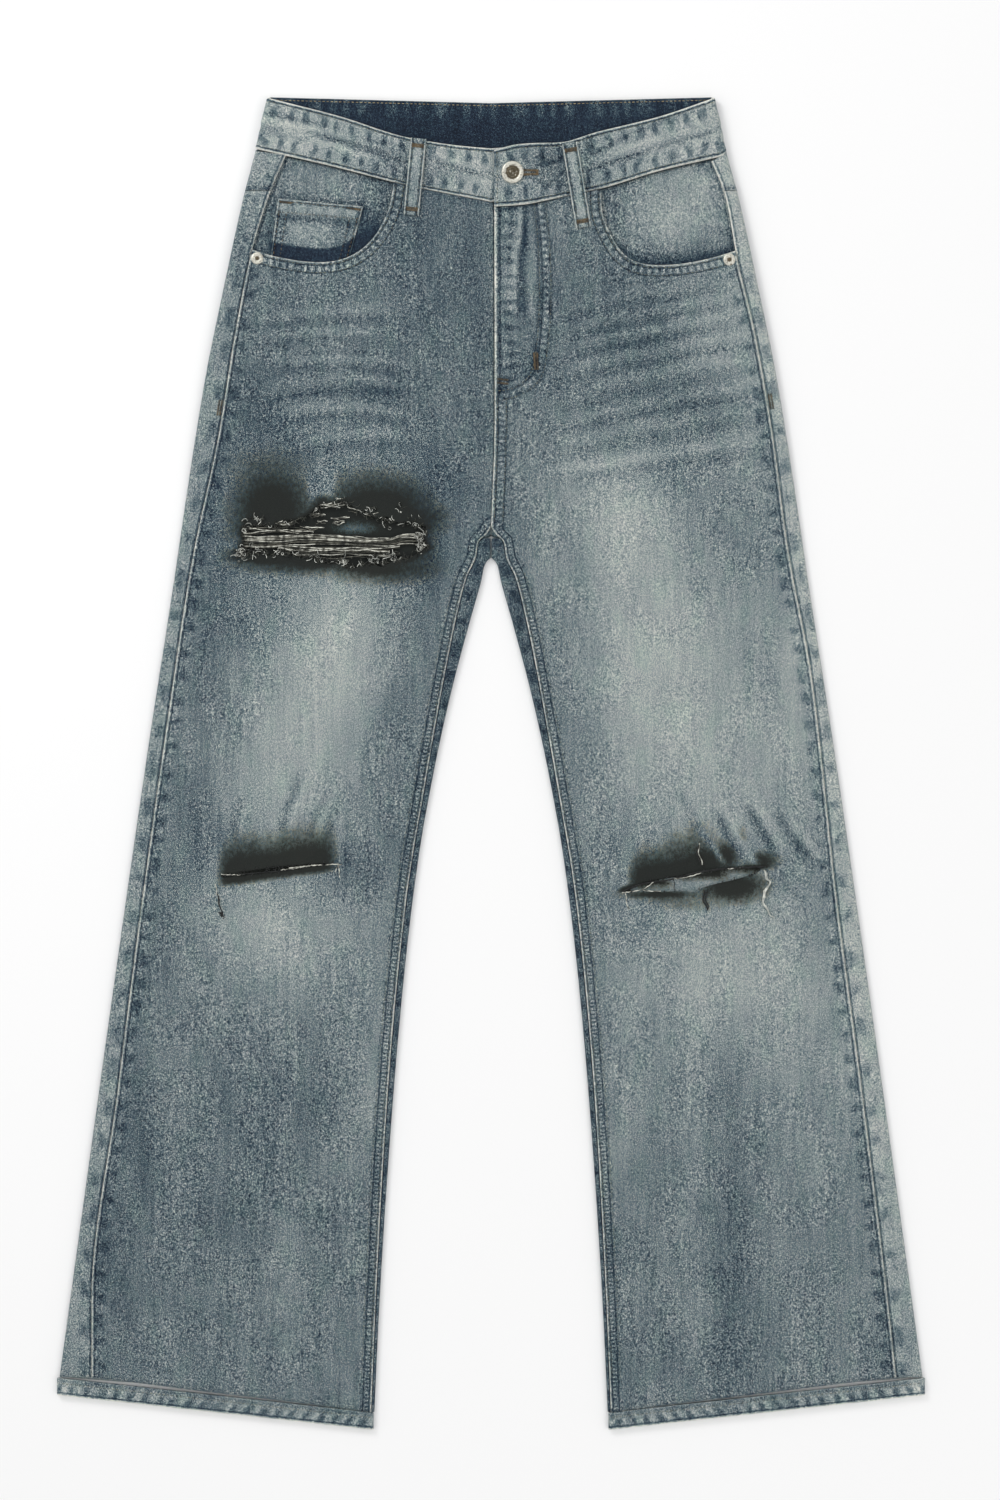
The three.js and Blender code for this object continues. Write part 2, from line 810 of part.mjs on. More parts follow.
// ---- Button and rivets ----

const LATHE_STEPS = 32;

function turned(profile, [x, y]) {
  const points = profile.map(([radius, z]) => new THREE.Vector2(radius, z));
  const geometry = new THREE.LatheGeometry(points, LATHE_STEPS);
  return geometry.rotateX(Math.PI / 2).translate(x, y, 0);
}

// The button's head as [radius, rise]: a rolled rim, a dished face and a small centre dome.
const BUTTON_HEAD = [
  [BUTTON_RADIUS - 1, 0],
  [BUTTON_RADIUS, 0.7],
  [BUTTON_RADIUS, 1.2],
  [BUTTON_RADIUS - 1, 1.9],
  [BUTTON_RADIUS - 3, 2.1],
  [BUTTON_RADIUS - 4.2, 1.2],
  [2, 1.2],
  [1.4, 1.7],
  [0, 1.9],
];

// A two-part jeans button: the shank stands on the hidden band end and passes the buttonhole.
function button() {
  const foot = BAND_TOP + SEAM_GAP;
  const head = BAND_TOP + OVERLAP_RISE + SEAM_GAP;
  const profile = [
    [0, foot],
    [SHANK_RADIUS, foot],
    [SHANK_RADIUS, head],
    ...BUTTON_HEAD.map(([radius, rise]) => [radius, head + rise]),
  ];
  return turned(profile, BUTTON_PLACE);
}

const WASHER_RADIUS = 3.4;
const WASHER_THICKNESS = 1;

// The rivet's cap as [radius, rise]: a rounded rim, a ring-shaped hollow and a centre nub.
const RIVET_CAP = [
  [RIVET_RADIUS, 0],
  [RIVET_RADIUS, 0.5],
  [RIVET_RADIUS - 1.4, 1.3],
  [2, 1],
  [1, 1.6],
  [0, 1.7],
];

// A pocket rivet: a cap on the cloth, a post through it and a washer beneath.
function rivet(side) {
  const cap = FRONT_TOP_HIP + SEAM_GAP;
  const washer = FRONT_TOP_HIP - CLOTH - SEAM_GAP;
  const profile = [
    [0, washer - WASHER_THICKNESS],
    [WASHER_RADIUS, washer - WASHER_THICKNESS],
    [WASHER_RADIUS, washer],
    [RIVET_POST_RADIUS, washer],
    [RIVET_POST_RADIUS, cap],
    ...RIVET_CAP.map(([radius, rise]) => [radius, cap + rise]),
  ];
  return turned(profile, RIVETS[side]);
}

// ---- Materials and assembly ----

const finishes = {
  denim: { color: 0x6f8087, roughness: 0.92, metalness: 0 },
  worn_denim: { color: 0x939ea0, roughness: 0.92, metalness: 0 },
  metal: { color: 0xb9b5a6, roughness: 0.35, metalness: 1 },
};

const jeans = new THREE.Group();
jeans.name = "ripped_jeans";

function addPiece(name, geometry, finish) {
  const mesh = new THREE.Mesh(geometry, new THREE.MeshStandardMaterial(finishes[finish]));
  mesh.name = name;
  jeans.add(mesh);
}

addPiece("waistband", waistband(), "worn_denim");
for (const side of ["right", "left"]) {
  addPiece(`front_${side}`, frontPanel(side), "denim");
  addPiece(`back_${side}`, backPanel(side), "denim");
  addPiece(`yoke_${side}`, yoke(side), "denim");
  addPiece(`pocket_facing_${side}`, pocketFacing(side), "worn_denim");
  addPiece(`back_pocket_${side}`, backPocket(side), "denim");
  addPiece(`belt_loop_front_${side}`, frontLoop(side), "worn_denim");
  addPiece(`belt_loop_side_${side}`, backLoop(SIDES[side] * SIDE_LOOP_X), "worn_denim");
  addPiece(`hem_${side}`, hem(side), "worn_denim");
  addPiece(`rivet_${side}`, rivet(side), "metal");
}
addPiece("coin_pocket", coinPocket(), "worn_denim");
addPiece("belt_loop_back", backLoop(0), "worn_denim");
addPiece("button", button(), "metal");

export default jeans;
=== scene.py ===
# %% [markdown]
# Ripped jeans, laid flat with the front side up.
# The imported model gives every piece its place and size. This script dresses it: each piece of
# cloth is rebuilt as a thin curved shell on its solid's form, with its seams, puckers, creases,
# tears and threads. Sizes are in millimetres where a tailor would measure them, and become
# metres only when a mesh is made.

import math

import bpy
import numpy as np
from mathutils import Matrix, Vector


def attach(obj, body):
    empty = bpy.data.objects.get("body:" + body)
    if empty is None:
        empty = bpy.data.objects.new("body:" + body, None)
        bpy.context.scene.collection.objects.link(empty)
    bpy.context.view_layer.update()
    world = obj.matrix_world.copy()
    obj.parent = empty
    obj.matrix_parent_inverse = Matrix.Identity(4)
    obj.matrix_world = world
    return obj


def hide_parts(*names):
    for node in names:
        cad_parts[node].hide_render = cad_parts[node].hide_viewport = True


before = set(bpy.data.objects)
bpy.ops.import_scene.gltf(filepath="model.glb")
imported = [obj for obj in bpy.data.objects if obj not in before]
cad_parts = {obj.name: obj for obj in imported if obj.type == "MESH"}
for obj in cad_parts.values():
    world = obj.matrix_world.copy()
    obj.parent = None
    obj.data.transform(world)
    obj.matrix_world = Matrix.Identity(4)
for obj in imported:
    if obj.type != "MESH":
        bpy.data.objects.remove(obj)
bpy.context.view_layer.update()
scene = bpy.context.scene
MM = 0.001
SIDES = {"right": -1.0, "left": 1.0}
print("pieces in the frame:", len(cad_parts))

# %% [markdown]
# The garment lies on a pale floor and is seen from straight above, so the camera looks down with
# a long lens. A long lens keeps the outline true, as a pattern on a table looks. The light is a
# pale sky with one large soft lamp to one side, which is enough for seams to cast a faint shade.

# %% Camera, floor and light
VIEW_HEIGHT = 1.185
VIEW_CENTRE = (0.0071, 0.0107)
LENS = 85.0
SENSOR = 36.0
FRONT_LEVEL = 0.003
SKY_STRENGTH = 0.78
FLOOR_HALF, FLOOR_LEVEL = 6.0, -0.0006

camera_data = bpy.data.cameras.new("camera")
camera_data.lens = LENS
camera_data.sensor_width = SENSOR
camera = bpy.data.objects.new("camera", camera_data)
distance = VIEW_HEIGHT / 2 * LENS / (SENSOR / 2)
camera.location = (VIEW_CENTRE[0], VIEW_CENTRE[1], FRONT_LEVEL + distance)
scene.collection.objects.link(camera)
scene.camera = camera
scene.view_settings.view_transform = "Standard"

world = bpy.data.worlds.new("studio")
world.use_nodes = True
sky = world.node_tree.nodes["Background"]
sky.inputs["Color"].default_value = (1.0, 1.0, 1.0, 1.0)
sky.inputs["Strength"].default_value = SKY_STRENGTH
scene.world = world


def soft_lamp(name, place, size, power):
    """A square studio lamp aimed at the middle of the garment."""
    data = bpy.data.lights.new(name, "AREA")
    data.size = size
    data.energy = power
    lamp = bpy.data.objects.new(name, data)
    lamp.location = place
    lamp.rotation_euler = Vector(place).to_track_quat("Z", "Y").to_euler()
    scene.collection.objects.link(lamp)
    return lamp


soft_lamp("key_lamp", (-1.5, 1.7, 1.5), 0.9, 22.0)
soft_lamp("fill_lamp", (1.6, -1.2, 1.9), 1.4, 8.0)


def floor_piece():
    """A wide plain floor just under the garment."""
    half, level = FLOOR_HALF, FLOOR_LEVEL
    mesh = bpy.data.meshes.new("floor")
    corners = [(-half, -half, level), (half, -half, level), (half, half, level), (-half, half, level)]
    mesh.from_pydata(corners, [], [(0, 1, 2, 3)])
    floor = bpy.data.objects.new("floor", mesh)
    scene.collection.objects.link(floor)
    material = bpy.data.materials.new("floor_paint")
    material.use_nodes = True
    shader = material.node_tree.nodes["Principled BSDF"]
    shader.inputs["Base Color"].default_value = (0.97, 0.97, 0.97, 1.0)
    shader.inputs["Roughness"].default_value = 0.95
    mesh.materials.append(material)


floor_piece()
print("camera height:", round(camera.location.z, 3))

# %% [markdown]
# A pattern cutter draws long smooth lines through a few measured points. The same is done here:
# each edge or seam is a short list of points from the waist down, and a monotone cubic runs
# through them, because it never swings out past its points as other splines can.

# %% Smooth lines through a few points
def smooth_through(keys, values):
    """A function that runs smoothly through the points and straight on beyond the ends."""
    order = np.argsort(keys)
    k = np.asarray(keys, float)[order]
    v = np.asarray(values, float)[order]
    step = np.diff(k)
    slope = np.diff(v) / step
    tangent = np.empty_like(v)
    tangent[0], tangent[-1] = slope[0], slope[-1]
    same_way = slope[:-1] * slope[1:] > 0
    weight_a, weight_b = 2 * step[1:] + step[:-1], step[1:] + 2 * step[:-1]
    with np.errstate(divide="ignore", invalid="ignore"):
        mean = (weight_a + weight_b) / (weight_a / slope[:-1] + weight_b / slope[1:])
    tangent[1:-1] = np.where(same_way, mean, 0.0)

    def line(at):
        at = np.asarray(at, float)
        i = np.clip(np.searchsorted(k, at) - 1, 0, len(k) - 2)
        t = (at - k[i]) / step[i]
        u = np.clip(t, 0, 1)
        h = step[i]
        inside = (
            (2 * u**3 - 3 * u**2 + 1) * v[i]
            + (u**3 - 2 * u**2 + u) * h * tangent[i]
            + (3 * u**2 - 2 * u**3) * v[i + 1]
            + (u**3 - u**2) * h * tangent[i + 1]
        )
        past = np.where(t < 0, t * h * tangent[0], np.where(t > 1, (t - 1) * h * tangent[-1], 0))
        return inside + past

    return line


def x_line(points):
    """Distance from the middle as a function of height."""
    return smooth_through([p[1] for p in points], [p[0] for p in points])


def y_line(points):
    """Height as a function of distance from the middle."""
    return smooth_through([p[0] for p in points], [p[1] for p in points])


def ramp(value, start, end):
    """0 before start, 1 past end, and a smooth rise between."""
    t = np.clip((np.asarray(value, float) - start) / (end - start), 0, 1)
    return t * t * (3 - 2 * t)


def mix(a, b, share):
    return a + (b - a) * share


# %% [markdown]
# These are the outlines and seam lines of the two halves, the same ones that the solids follow.
# They differ a little from side to side, as they do on a real pair that has been laid down by
# hand. Distances are from the middle line, so the wearer's right side is mirrored.

# %% Outlines and seam lines
OUTER_EDGE = x_line([
    (176.5, 526.5), (186, 485), (196.5, 443), (211.5, 374), (224.5, 311), (240, 216),
    (250.5, 145), (270, 19), (297.5, -171), (324, -361), (343, -499),
])
INNER_EDGE = x_line([
    (0.2, 162.5), (4, 159), (8, 143), (16.5, 113), (33, 50), (46.5, -13), (57.5, -76),
    (69, -171), (79.8, -297), (88, -424), (92.8, -526.5),
])
INSEAM = x_line([
    (0.2, 187), (3, 182), (10, 175), (12, 163), (19, 148), (27.5, 115), (35.5, 76),
    (51.5, -13), (67, -108), (82, -266), (91, -424), (95, -520),
])
SIDE_SEAM = {
    "right": x_line([
        (160, 484), (174.5, 450), (190, 399), (202, 339), (215.5, 257), (236, 161),
        (255.5, 34), (275.5, -108), (295, -259), (315.5, -424), (315.5, -501),
    ]),
    "left": x_line([
        (170, 484), (184.5, 449), (194, 399), (208, 341), (222, 262), (234.5, 170),
        (253, 70), (273, -107), (293, -259), (314, -430), (321.5, -500),
    ]),
}
FRONT_BAND_SEAM = {
    "right": y_line([(0, 443), (65, 456), (128, 472), (186, 485)]),
    "left": y_line([(0, 439), (24, 440.5), (56, 447), (86, 453.5), (134, 468), (186, 480)]),
}
FRONT_BAND_EDGE = {
    "right": y_line([(0, 485.5), (23, 487.5), (65, 494), (120, 511), (176.5, 525.5)]),
    "left": y_line([(0, 483), (22, 488.5), (56, 490.5), (82, 498), (134, 511), (176.5, 525.5)]),
}
POCKET_MOUTH = {
    "right": [
        (77, 456), (80, 437.5), (88, 421), (98, 408.5), (110.5, 400), (125.5, 395.5),
        (143, 395.5), (158, 397.5), (175, 401), (196, 408),
    ],
    "left": [
        (87, 452), (87, 436), (92, 421), (102, 404), (112, 396), (126, 393),
        (146.5, 393.5), (167, 397), (182, 401), (200, 407),
    ],
}
CENTRE_FRONT = x_line([(2.5, 443), (2.8, 272), (0, 187)])
BACK_BAND_EDGE = y_line([(0, 521.8), (176.5, 526.5)])
BACK_BAND_SEAM = y_line([(0, 481.8), (186, 486)])
YOKE_SEAM = y_line([(0, 405), (194, 452)])
YOKE_ROW = 452.0
CROTCH_TOP = 187.0
TONGUE_TOP = 178.0
HEM_INNER = (93.0, -526.5)
HEM_OUTER = (343.0, -499.0)
HEM_HEIGHT = 14.0
HEM_ROW = HEM_OUTER[1] + HEM_HEIGHT


def hem_line(x):
    """The lower edge of a leg."""
    return mix(HEM_INNER[1], HEM_OUTER[1], (x - HEM_INNER[0]) / (HEM_OUTER[0] - HEM_INNER[0]))


def sampled(points, step=4.0):
    """A polyline through the points, rounded by cutting its corners and cut into short steps."""
    line = np.asarray(points, float)
    for _ in range(3):
        a, b = line[:-1], line[1:]
        cut = np.empty((2 * len(a), 2))
        cut[0::2], cut[1::2] = mix(a, b, 0.25), mix(a, b, 0.75)
        line = np.vstack([line[:1], cut, line[-1:]])
    length = np.concatenate([[0], np.cumsum(np.linalg.norm(np.diff(line, axis=0), axis=1))])
    even = np.linspace(0, length[-1], max(int(length[-1] / step), 2) + 1)
    return np.stack([np.interp(even, length, line[:, i]) for i in (0, 1)], axis=1)


def mirrored(points, side):
    """Points given as distances from the middle, put on their side."""
    return np.asarray(points, float) * (SIDES[side], 1.0)


def down_line(edge, top, bottom, side, step=6.0):
    """Sampled points down an edge that is a function of height."""
    y = np.linspace(top, bottom, int(abs(top - bottom) / step) + 2)
    return mirrored(np.stack([edge(y), y], axis=1), side)


def across_line(edge, start, end, side, step=5.0):
    """Sampled points along an edge that is a function of distance from the middle."""
    x = np.linspace(start, end, int(abs(end - start) / step) + 2)
    return mirrored(np.stack([x, edge(np.abs(x))], axis=1), side)

# %% [markdown]
# Cloth laid flat is a stack. From the floor up come the back pockets, the back ply, the front
# ply with the pocket facing and coin pocket in it, then the waistband and its loops. Each level is
# one number in millimetres, so nothing in the stack can cut through what lies under it.

# %% Heights above the floor
CLOTH = 1.0
BACK_LIFT = 1.3
FACING_TOP = 3.9
COIN_TOP = 5.2
BAND_TOP = 6.9
BAND_THICKNESS = 2.4
OVERLAP_RISE = 2.7
FRONT_TOP_HIP = 6.5


def front_top(y):
    """Upper face of the front ply, which rises over the pocket cloth at the hips."""
    return 3.2 + (FRONT_TOP_HIP - 3.2) * np.clip((np.asarray(y, float) - 190) / 195, 0, 1)


def back_lift(y):
    """Underside of the back ply, which lies on the back pockets at the hips."""
    return BACK_LIFT * np.clip((np.asarray(y, float) - 200) / 35, 0, 1)


# %% [markdown]
# Wear, creases and stains are placed by their distance from a line or a spot, so two small
# measures do most of the work: how far a point is from a polyline and how far along it, and
# whether it lies inside a closed outline.

# %% Measuring from lines and outlines
def to_line(x, y, line):
    """Distance from each point to a polyline, and how far along it the nearest place is."""
    points = np.stack([np.ravel(x), np.ravel(y)], axis=1)
    best = np.full(len(points), 1e9)
    run = np.zeros(len(points))
    along = 0.0
    for a, b in zip(line[:-1], line[1:], strict=True):
        ab = b - a
        length = math.hypot(*ab)
        if length < 1e-9:
            continue
        t = np.clip(((points - a) @ ab) / length**2, 0, 1)
        gap = np.hypot(*(points - a - t[:, None] * ab).T)
        closer = gap < best
        best = np.where(closer, gap, best)
        run = np.where(closer, along + t * length, run)
        along += length
    return best.reshape(np.shape(x)), run.reshape(np.shape(x))


def inside(x, y, outline):
    """True where a point lies inside a closed outline."""
    found = np.zeros(np.shape(x), bool)
    for (ax, ay), (bx, by) in zip(outline, np.roll(outline, -1, axis=0), strict=True):
        crosses = (ay > y) != (by > y)
        with np.errstate(divide="ignore", invalid="ignore"):
            cut = (bx - ax) * (y - ay) / (by - ay) + ax
        found ^= crosses & (x < cut)
    return found


def nearest_on(points, outline):
    """The nearest place on a closed outline for each point."""
    best = np.full(len(points), 1e9)
    place = points.copy()
    for a, b in zip(outline, np.roll(outline, -1, axis=0), strict=True):
        ab = b - a
        t = np.clip(((points - a) @ ab) / max(ab @ ab, 1e-12), 0, 1)
        foot = a + t[:, None] * ab
        gap = np.hypot(*(points - foot).T)
        closer = gap < best
        best = np.where(closer, gap, best)
        place[closer] = foot[closer]
    return best, place


def hump(value, centre, width):
    """A soft hump: 1 where the value is at its centre, and near 0 two widths away."""
    return np.exp(-(((value - centre) / width) ** 2))


def streak(x, y, x0, y0, x1, y1, width, bow=0.0):
    """A soft line from one point to another that fades at its ends; bow bends its middle."""
    ax, ay = x1 - x0, y1 - y0
    length = math.hypot(ax, ay)
    t = ((x - x0) * ax + (y - y0) * ay) / length**2
    off = ((x - x0) * ay - (y - y0) * ax) / length + bow * (1 - (2 * t - 1) ** 2)
    ends = ramp(t, -0.05, 0.25) * (1 - ramp(t, 0.75, 1.05))
    return hump(off, 0, width) * ends


def spot(x, y, cx, cy, rx, ry):
    """A soft round spot from 0 to 1."""
    return np.exp(-(((x - cx) / rx) ** 2) - (((y - cy) / ry) ** 2))


def spots(x, y, *marks):
    """The sum of soft spots, each given as its middle, its reach each way and its strength."""
    return sum(amount * spot(x, y, cx, cy, rx, ry) for cx, cy, rx, ry, amount in marks)


# %% [markdown]
# A tear is an outline with an uneven edge. The thigh rip is a long opening with a bite out of
# its top edge, the right knee slit is hardly open, and the left knee slit gapes a little.

# %% The outlines of the tears
THIGH_RIP = np.array([
    (-197, 186), (-186, 189), (-172, 188), (-160, 192), (-150, 193), (-141, 199), (-134, 206),
    (-124, 204), (-114, 208), (-107, 201), (-99, 199), (-92, 194), (-82, 195), (-73, 190),
    (-62, 192), (-51, 187), (-53, 179), (-50, 171), (-58, 166), (-66, 161), (-76, 161),
    (-86, 155), (-98, 158), (-108, 154), (-120, 159), (-130, 158), (-140, 163), (-152, 163),
    (-163, 167), (-176, 164), (-188, 167), (-198, 165), (-195, 176),
], float)
RIGHT_KNEE_SLIT = sampled([
    (-214, -88.5), (-190, -84.5), (-160, -80.5), (-117.5, -78), (-150, -82.5), (-190, -87.5), (-214, -90),
], 3.0)
LEFT_KNEE_SLIT = sampled([
    (103.5, -102), (114.5, -97.5), (126.5, -92.5), (143.5, -90), (162.5, -87.5), (181, -83),
    (199, -82), (218.5, -82.5), (199, -90.5), (175, -95.5), (165, -99), (162, -103), (158, -101),
    (146, -101), (124, -101.5), (103.5, -102),
], 2.0)
TEARS = {"right": [THIGH_RIP, RIGHT_KNEE_SLIT], "left": [LEFT_KNEE_SLIT]}
LEFT_KNEE_LIP = sampled([(103, -100), (116, -95), (139, -92.4), (163, -87), (184, -83.5), (218, -81)], 3.0)

# %% [markdown]
# The wash. A factory fades jeans by hand: it sands the thighs and knees pale, lays whiskers on
# the hips, and sprays dark tint round the tears. Each of these is one entry in a list, with its
# place, its reach and its strength, so the look can be tuned as the real finisher does it.
# The number that results is how pale the cloth is, from 0 for raw indigo to 1 for white.

# %% Fades and whiskers on the front
BASE_SHADE = 0.4
FRONT_FADES = [
    (-118, 100, 47, 76, 0.2), (-152, 15, 56, 62, 0.13), (-178, 55, 34, 80, 0.05),
    (-172, -35, 50, 42, 0.1), (-160, -135, 66, 54, 0.17), (-196, -125, 36, 26, 0.06),
    (-165, -190, 26, 50, 0.04), (-128, 338, 40, 40, 0.04), (-112, 266, 44, 14, 0.05),
    (-160, -400, 13, 160, 0.04), (-100, -240, 22, 100, 0.07), (-250, 30, 22, 140, 0.02),
    (98, 200, 52, 48, 0.16), (128, 110, 70, 85, 0.19), (150, 0, 85, 80, 0.15), (200, -60, 72, 90, 0.05),
    (180, -165, 70, 68, 0.17), (245, -240, 46, 130, 0.1), (240, 70, 42, 130, 0.1),
    (192, 350, 34, 85, 0.12), (150, 300, 60, 60, 0.01), (105, -240, 34, 120, 0.08),
    (158, -310, 16, 90, 0.07), (285, -400, 40, 90, 0.02), (285, -240, 20, 90, 0.07),
    (240, 90, 16, 60, 0.05), (160, -440, 14, 30, 0.05), (10, 350, 9, 90, 0.05), (205, 260, 26, 60, 0.06),
    (60, 235, 60, 16, 0.04), (-160, -360, 12, 40, 0.06), (-86, -240, 12, 40, 0.06),
    (-262, -220, 28, 40, 0.04), (120, 90, 60, 80, 0.02), (-118, 100, 36, 60, 0.02),
    (200, 358, 12, 30, 0.03), (20, 400, 8, 24, 0.05), (24, 300, 12, 4, 0.1),
]
FRONT_SHADOWS = [
    (-30, 375, 22, 70, -0.07), (-12, 300, 12, 120, -0.04), (-182, 262, 38, 44, -0.08),
    (-225, 150, 16, 120, -0.05), (-80, 292, 30, 34, -0.06), (95, 380, 30, 40, -0.05),
    (-300, -370, 30, 100, -0.05), (188, -410, 13, 130, -0.07), (62, 60, 12, 60, -0.03),
    (-64, 110, 18, 80, -0.05), (110, 345, 40, 40, -0.03), (-60, 430, 30, 25, -0.05),
    (-160, 315, 46, 34, -0.05), (-235, -40, 18, 40, -0.03), (-80, 20, 16, 60, -0.05),
    (-45, 215, 22, 50, -0.09), (4, 250, 14, 50, -0.05), (165, 282, 30, 16, -0.09),
    (180, -80, 95, 24, -0.07), (-112, -84, 24, 20, -0.09), (-275, -300, 14, 60, -0.06),
    (-160, -320, 20, 30, -0.07), (-190, -60, 40, 20, -0.05), (326, -390, 14, 60, -0.06),
    (-205, 120, 24, 90, -0.04), (-120, 180, 70, 30, -0.03), (-160, -260, 50, 30, -0.02),
    (-226, -350, 26, 60, -0.04), (-80, 330, 26, 70, -0.05), (-60, 400, 22, 30, -0.04),
    (-162, 350, 28, 36, -0.04), (4, 325, 16, 26, -0.05), (-44, 154, 12, 30, -0.12),
    (-136, 158, 34, 12, -0.06), (202, -340, 18, 50, -0.04), (162, -88, 60, 16, -0.04),
    (-116, -86, 18, 18, -0.04), (-158, -200, 16, 60, -0.04), (142, 284, 40, 18, -0.04),
    (-316, -380, 14, 40, -0.05), (82, 12, 12, 40, -0.04), (-120, 410, 30, 20, -0.03),
    (-190, -330, 28, 46, -0.035), (-262, -110, 20, 80, -0.03), (100, 345, 46, 34, -0.035),
    (30, 322, 8, 30, -0.06),
]
WHISKERS = [
    # from (x, y) to (x, y), width, strength, bow of its middle
    (44, 356, 200, 386, 4.6, 0.04, 1.5), (44, 341, 206, 371, 4.6, 0.055, 1.5),
    (70, 332, 190, 354, 2.6, 0.04, 1.0), (46, 326, 210, 357, 4.6, 0.05, 1.5),
    (46, 307, 214, 341, 4.8, 0.06, 2.0), (64, 297, 200, 325, 2.4, 0.04, 1.0),
    (50, 287, 216, 322, 4.8, 0.06, 2.0), (50, 269, 216, 300, 4.8, 0.055, 2.0),
    (80, 262, 210, 286, 2.4, 0.04, 1.0), (40, 250, 220, 281, 4.6, 0.055, 1.0),
    (40, 229, 224, 258, 4.4, 0.07, 0.0), (-186, 352, -72, 358, 4.0, 0.06, 2.0),
    (-188, 338, -78, 340, 3.6, 0.07, 3.0), (-170, 328, -80, 330, 2.2, 0.05, 3.0),
    (-182, 316, -66, 316, 4.0, 0.075, 4.0), (-170, 305, -84, 306, 2.2, 0.05, 4.0),
    (-184, 294, -58, 300, 4.0, 0.08, 6.0), (-172, 276, -60, 274, 4.2, 0.08, 7.0),
    (-150, 266, -80, 266, 2.2, 0.05, 5.0), (-158, 252, -56, 258, 4.0, 0.07, 6.0),
    (-49.5, 378, -50, 352, 1.2, 0.1, 0.0),
]
KNEE_CREASES = [
    # from (x, y) to (x, y), width, depth
    (-149, -4, -168, -58, 3.6, 1.1), (-130, -24, -146, -60, 3.2, 0.9), (-120, -30, -130, -58, 3.0, 0.5),
    (-196, -26, -206, -62, 3.2, 0.7), (-236, -20, -228, -90, 4.0, 0.6), (-118, -60, -112, -84, 2.6, 0.5),
    (176, -36, 200, -78, 2.8, 1.7), (200, -30, 226, -74, 3.2, 1.9), (222, -34, 250, -76, 3.4, 1.3),
    (160, -44, 180, -76, 2.6, 1.2), (238, -56, 258, -84, 3.0, 0.9), (150, -20, 164, -60, 3.0, 0.6),
    (206, -106, 190, -124, 2.6, 0.6), (222, -110, 236, -130, 2.6, 0.5), (228, -92, 246, -108, 3.0, 0.5),
]


def front_wash(x, y):
    """How pale the front is at a point, with painted shade in the knee creases, and how much its
    creases raise it.
    """
    shade = BASE_SHADE + spots(x, y, *FRONT_FADES, *FRONT_SHADOWS)
    relief = np.zeros(np.shape(x))
    for x0, y0, x1, y1, width, amount, bow in WHISKERS:
        line = streak(x, y, x0, y0, x1, y1, width, bow)
        gap = streak(x, y, x0, y0 - 9.0, x1, y1 - 9.0, width, bow)
        shade = shade + amount * np.where(x < -55, 1.3, 1.15) * (line - 0.9 * gap)
        relief = relief + 0.35 * (line - gap)
    for x0, y0, x1, y1, width, amount in KNEE_CREASES:
        dip = streak(x, y, x0, y0, x1, y1, width)
        crest = streak(x, y, x0 + 7, y0 + 2, x1 + 7, y1 + 2, width)
        # painted shade in each knee crease's trough and a faint painted highlight on its crest
        shade = shade + amount * (0.05 * crest - 0.13 * dip)
        relief = relief + amount * (0.9 * crest - 0.9 * dip)
    return shade, relief

# %% [markdown]
# The finisher sprays black tint round each tear to make it look old and grubby. It is densest at
# the cut and ends in a soft, uneven cloud. It could be painted on an image, but a few soft spots
# and bars do the same, stay sharp at any distance, and can be moved with the tear. The same
# darkness also carries painted shadow: a dark line along the left knee slit's upper lip, a few
# spots under the lower edges of the thigh rip and the left knee slit, and the inside of the back
# cloth seen through the tears.

# %% Dark tint sprayed round the tears, and painted shadow at their lips
TINT_AND_SHADE_SPOTS = [
    # middle, reach each way, strength, how firm its edge is; the spots just under the thigh rip's
    # lower edge and under the left knee slit are painted shade, the rest black stain
    (-173, 206, 30, 24, 1.0, 2.6), (-176, 192, 28, 12, 0.86, 2.6), (-175, 232, 36, 20, 0.34, 2.0),
    (-93, 202, 40, 26, 1.0, 2.6), (-84, 194, 44, 16, 0.86, 2.6), (-128, 182, 76, 17, 0.95, 5.0),
    (-84, 154, 36, 11, 0.95, 2.0), (-56, 172, 13, 18, 0.6, 2.0), (-66, 205, 18, 20, 0.45, 2.0),
    (-174, 164, 34, 9, 1.0, 3.0), (-140, 160, 26, 8, 0.8, 3.0), (-105, 156, 20, 8, 0.8, 2.4),
    (185, -74, 9, 13, 1.05, 3.0), (214, -77, 13, 7, 1.0, 2.6), (198, -60, 5, 12, 0.4, 2.0),
    (191, -97, 27, 13, 1.05, 3.0), (142, -106, 26, 6, 0.5, 2.0), (168, -78, 9, 14, 0.85, 2.6),
    (158, -112, 34, 6, 0.3, 2.0), (134, -103.5, 32, 3.4, 0.9, 2.0), (-118, 236, 60, 16, 0.12, 2.0),
    (-148, 158, 50, 9, 0.75, 2.0),
]
TINT_BARS = [
    # start x, end x, y at the start, y at the end, reach above, reach below, strength
    (-212, -126, -92, -80, 27, 5, 1.15), (-152, -128, -82, -80, 34, 3, 0.5),
    (112, 182, -98, -83, 24, 4, 1.15), (136, 178, -91, -84, 31, 4, 0.95),
]


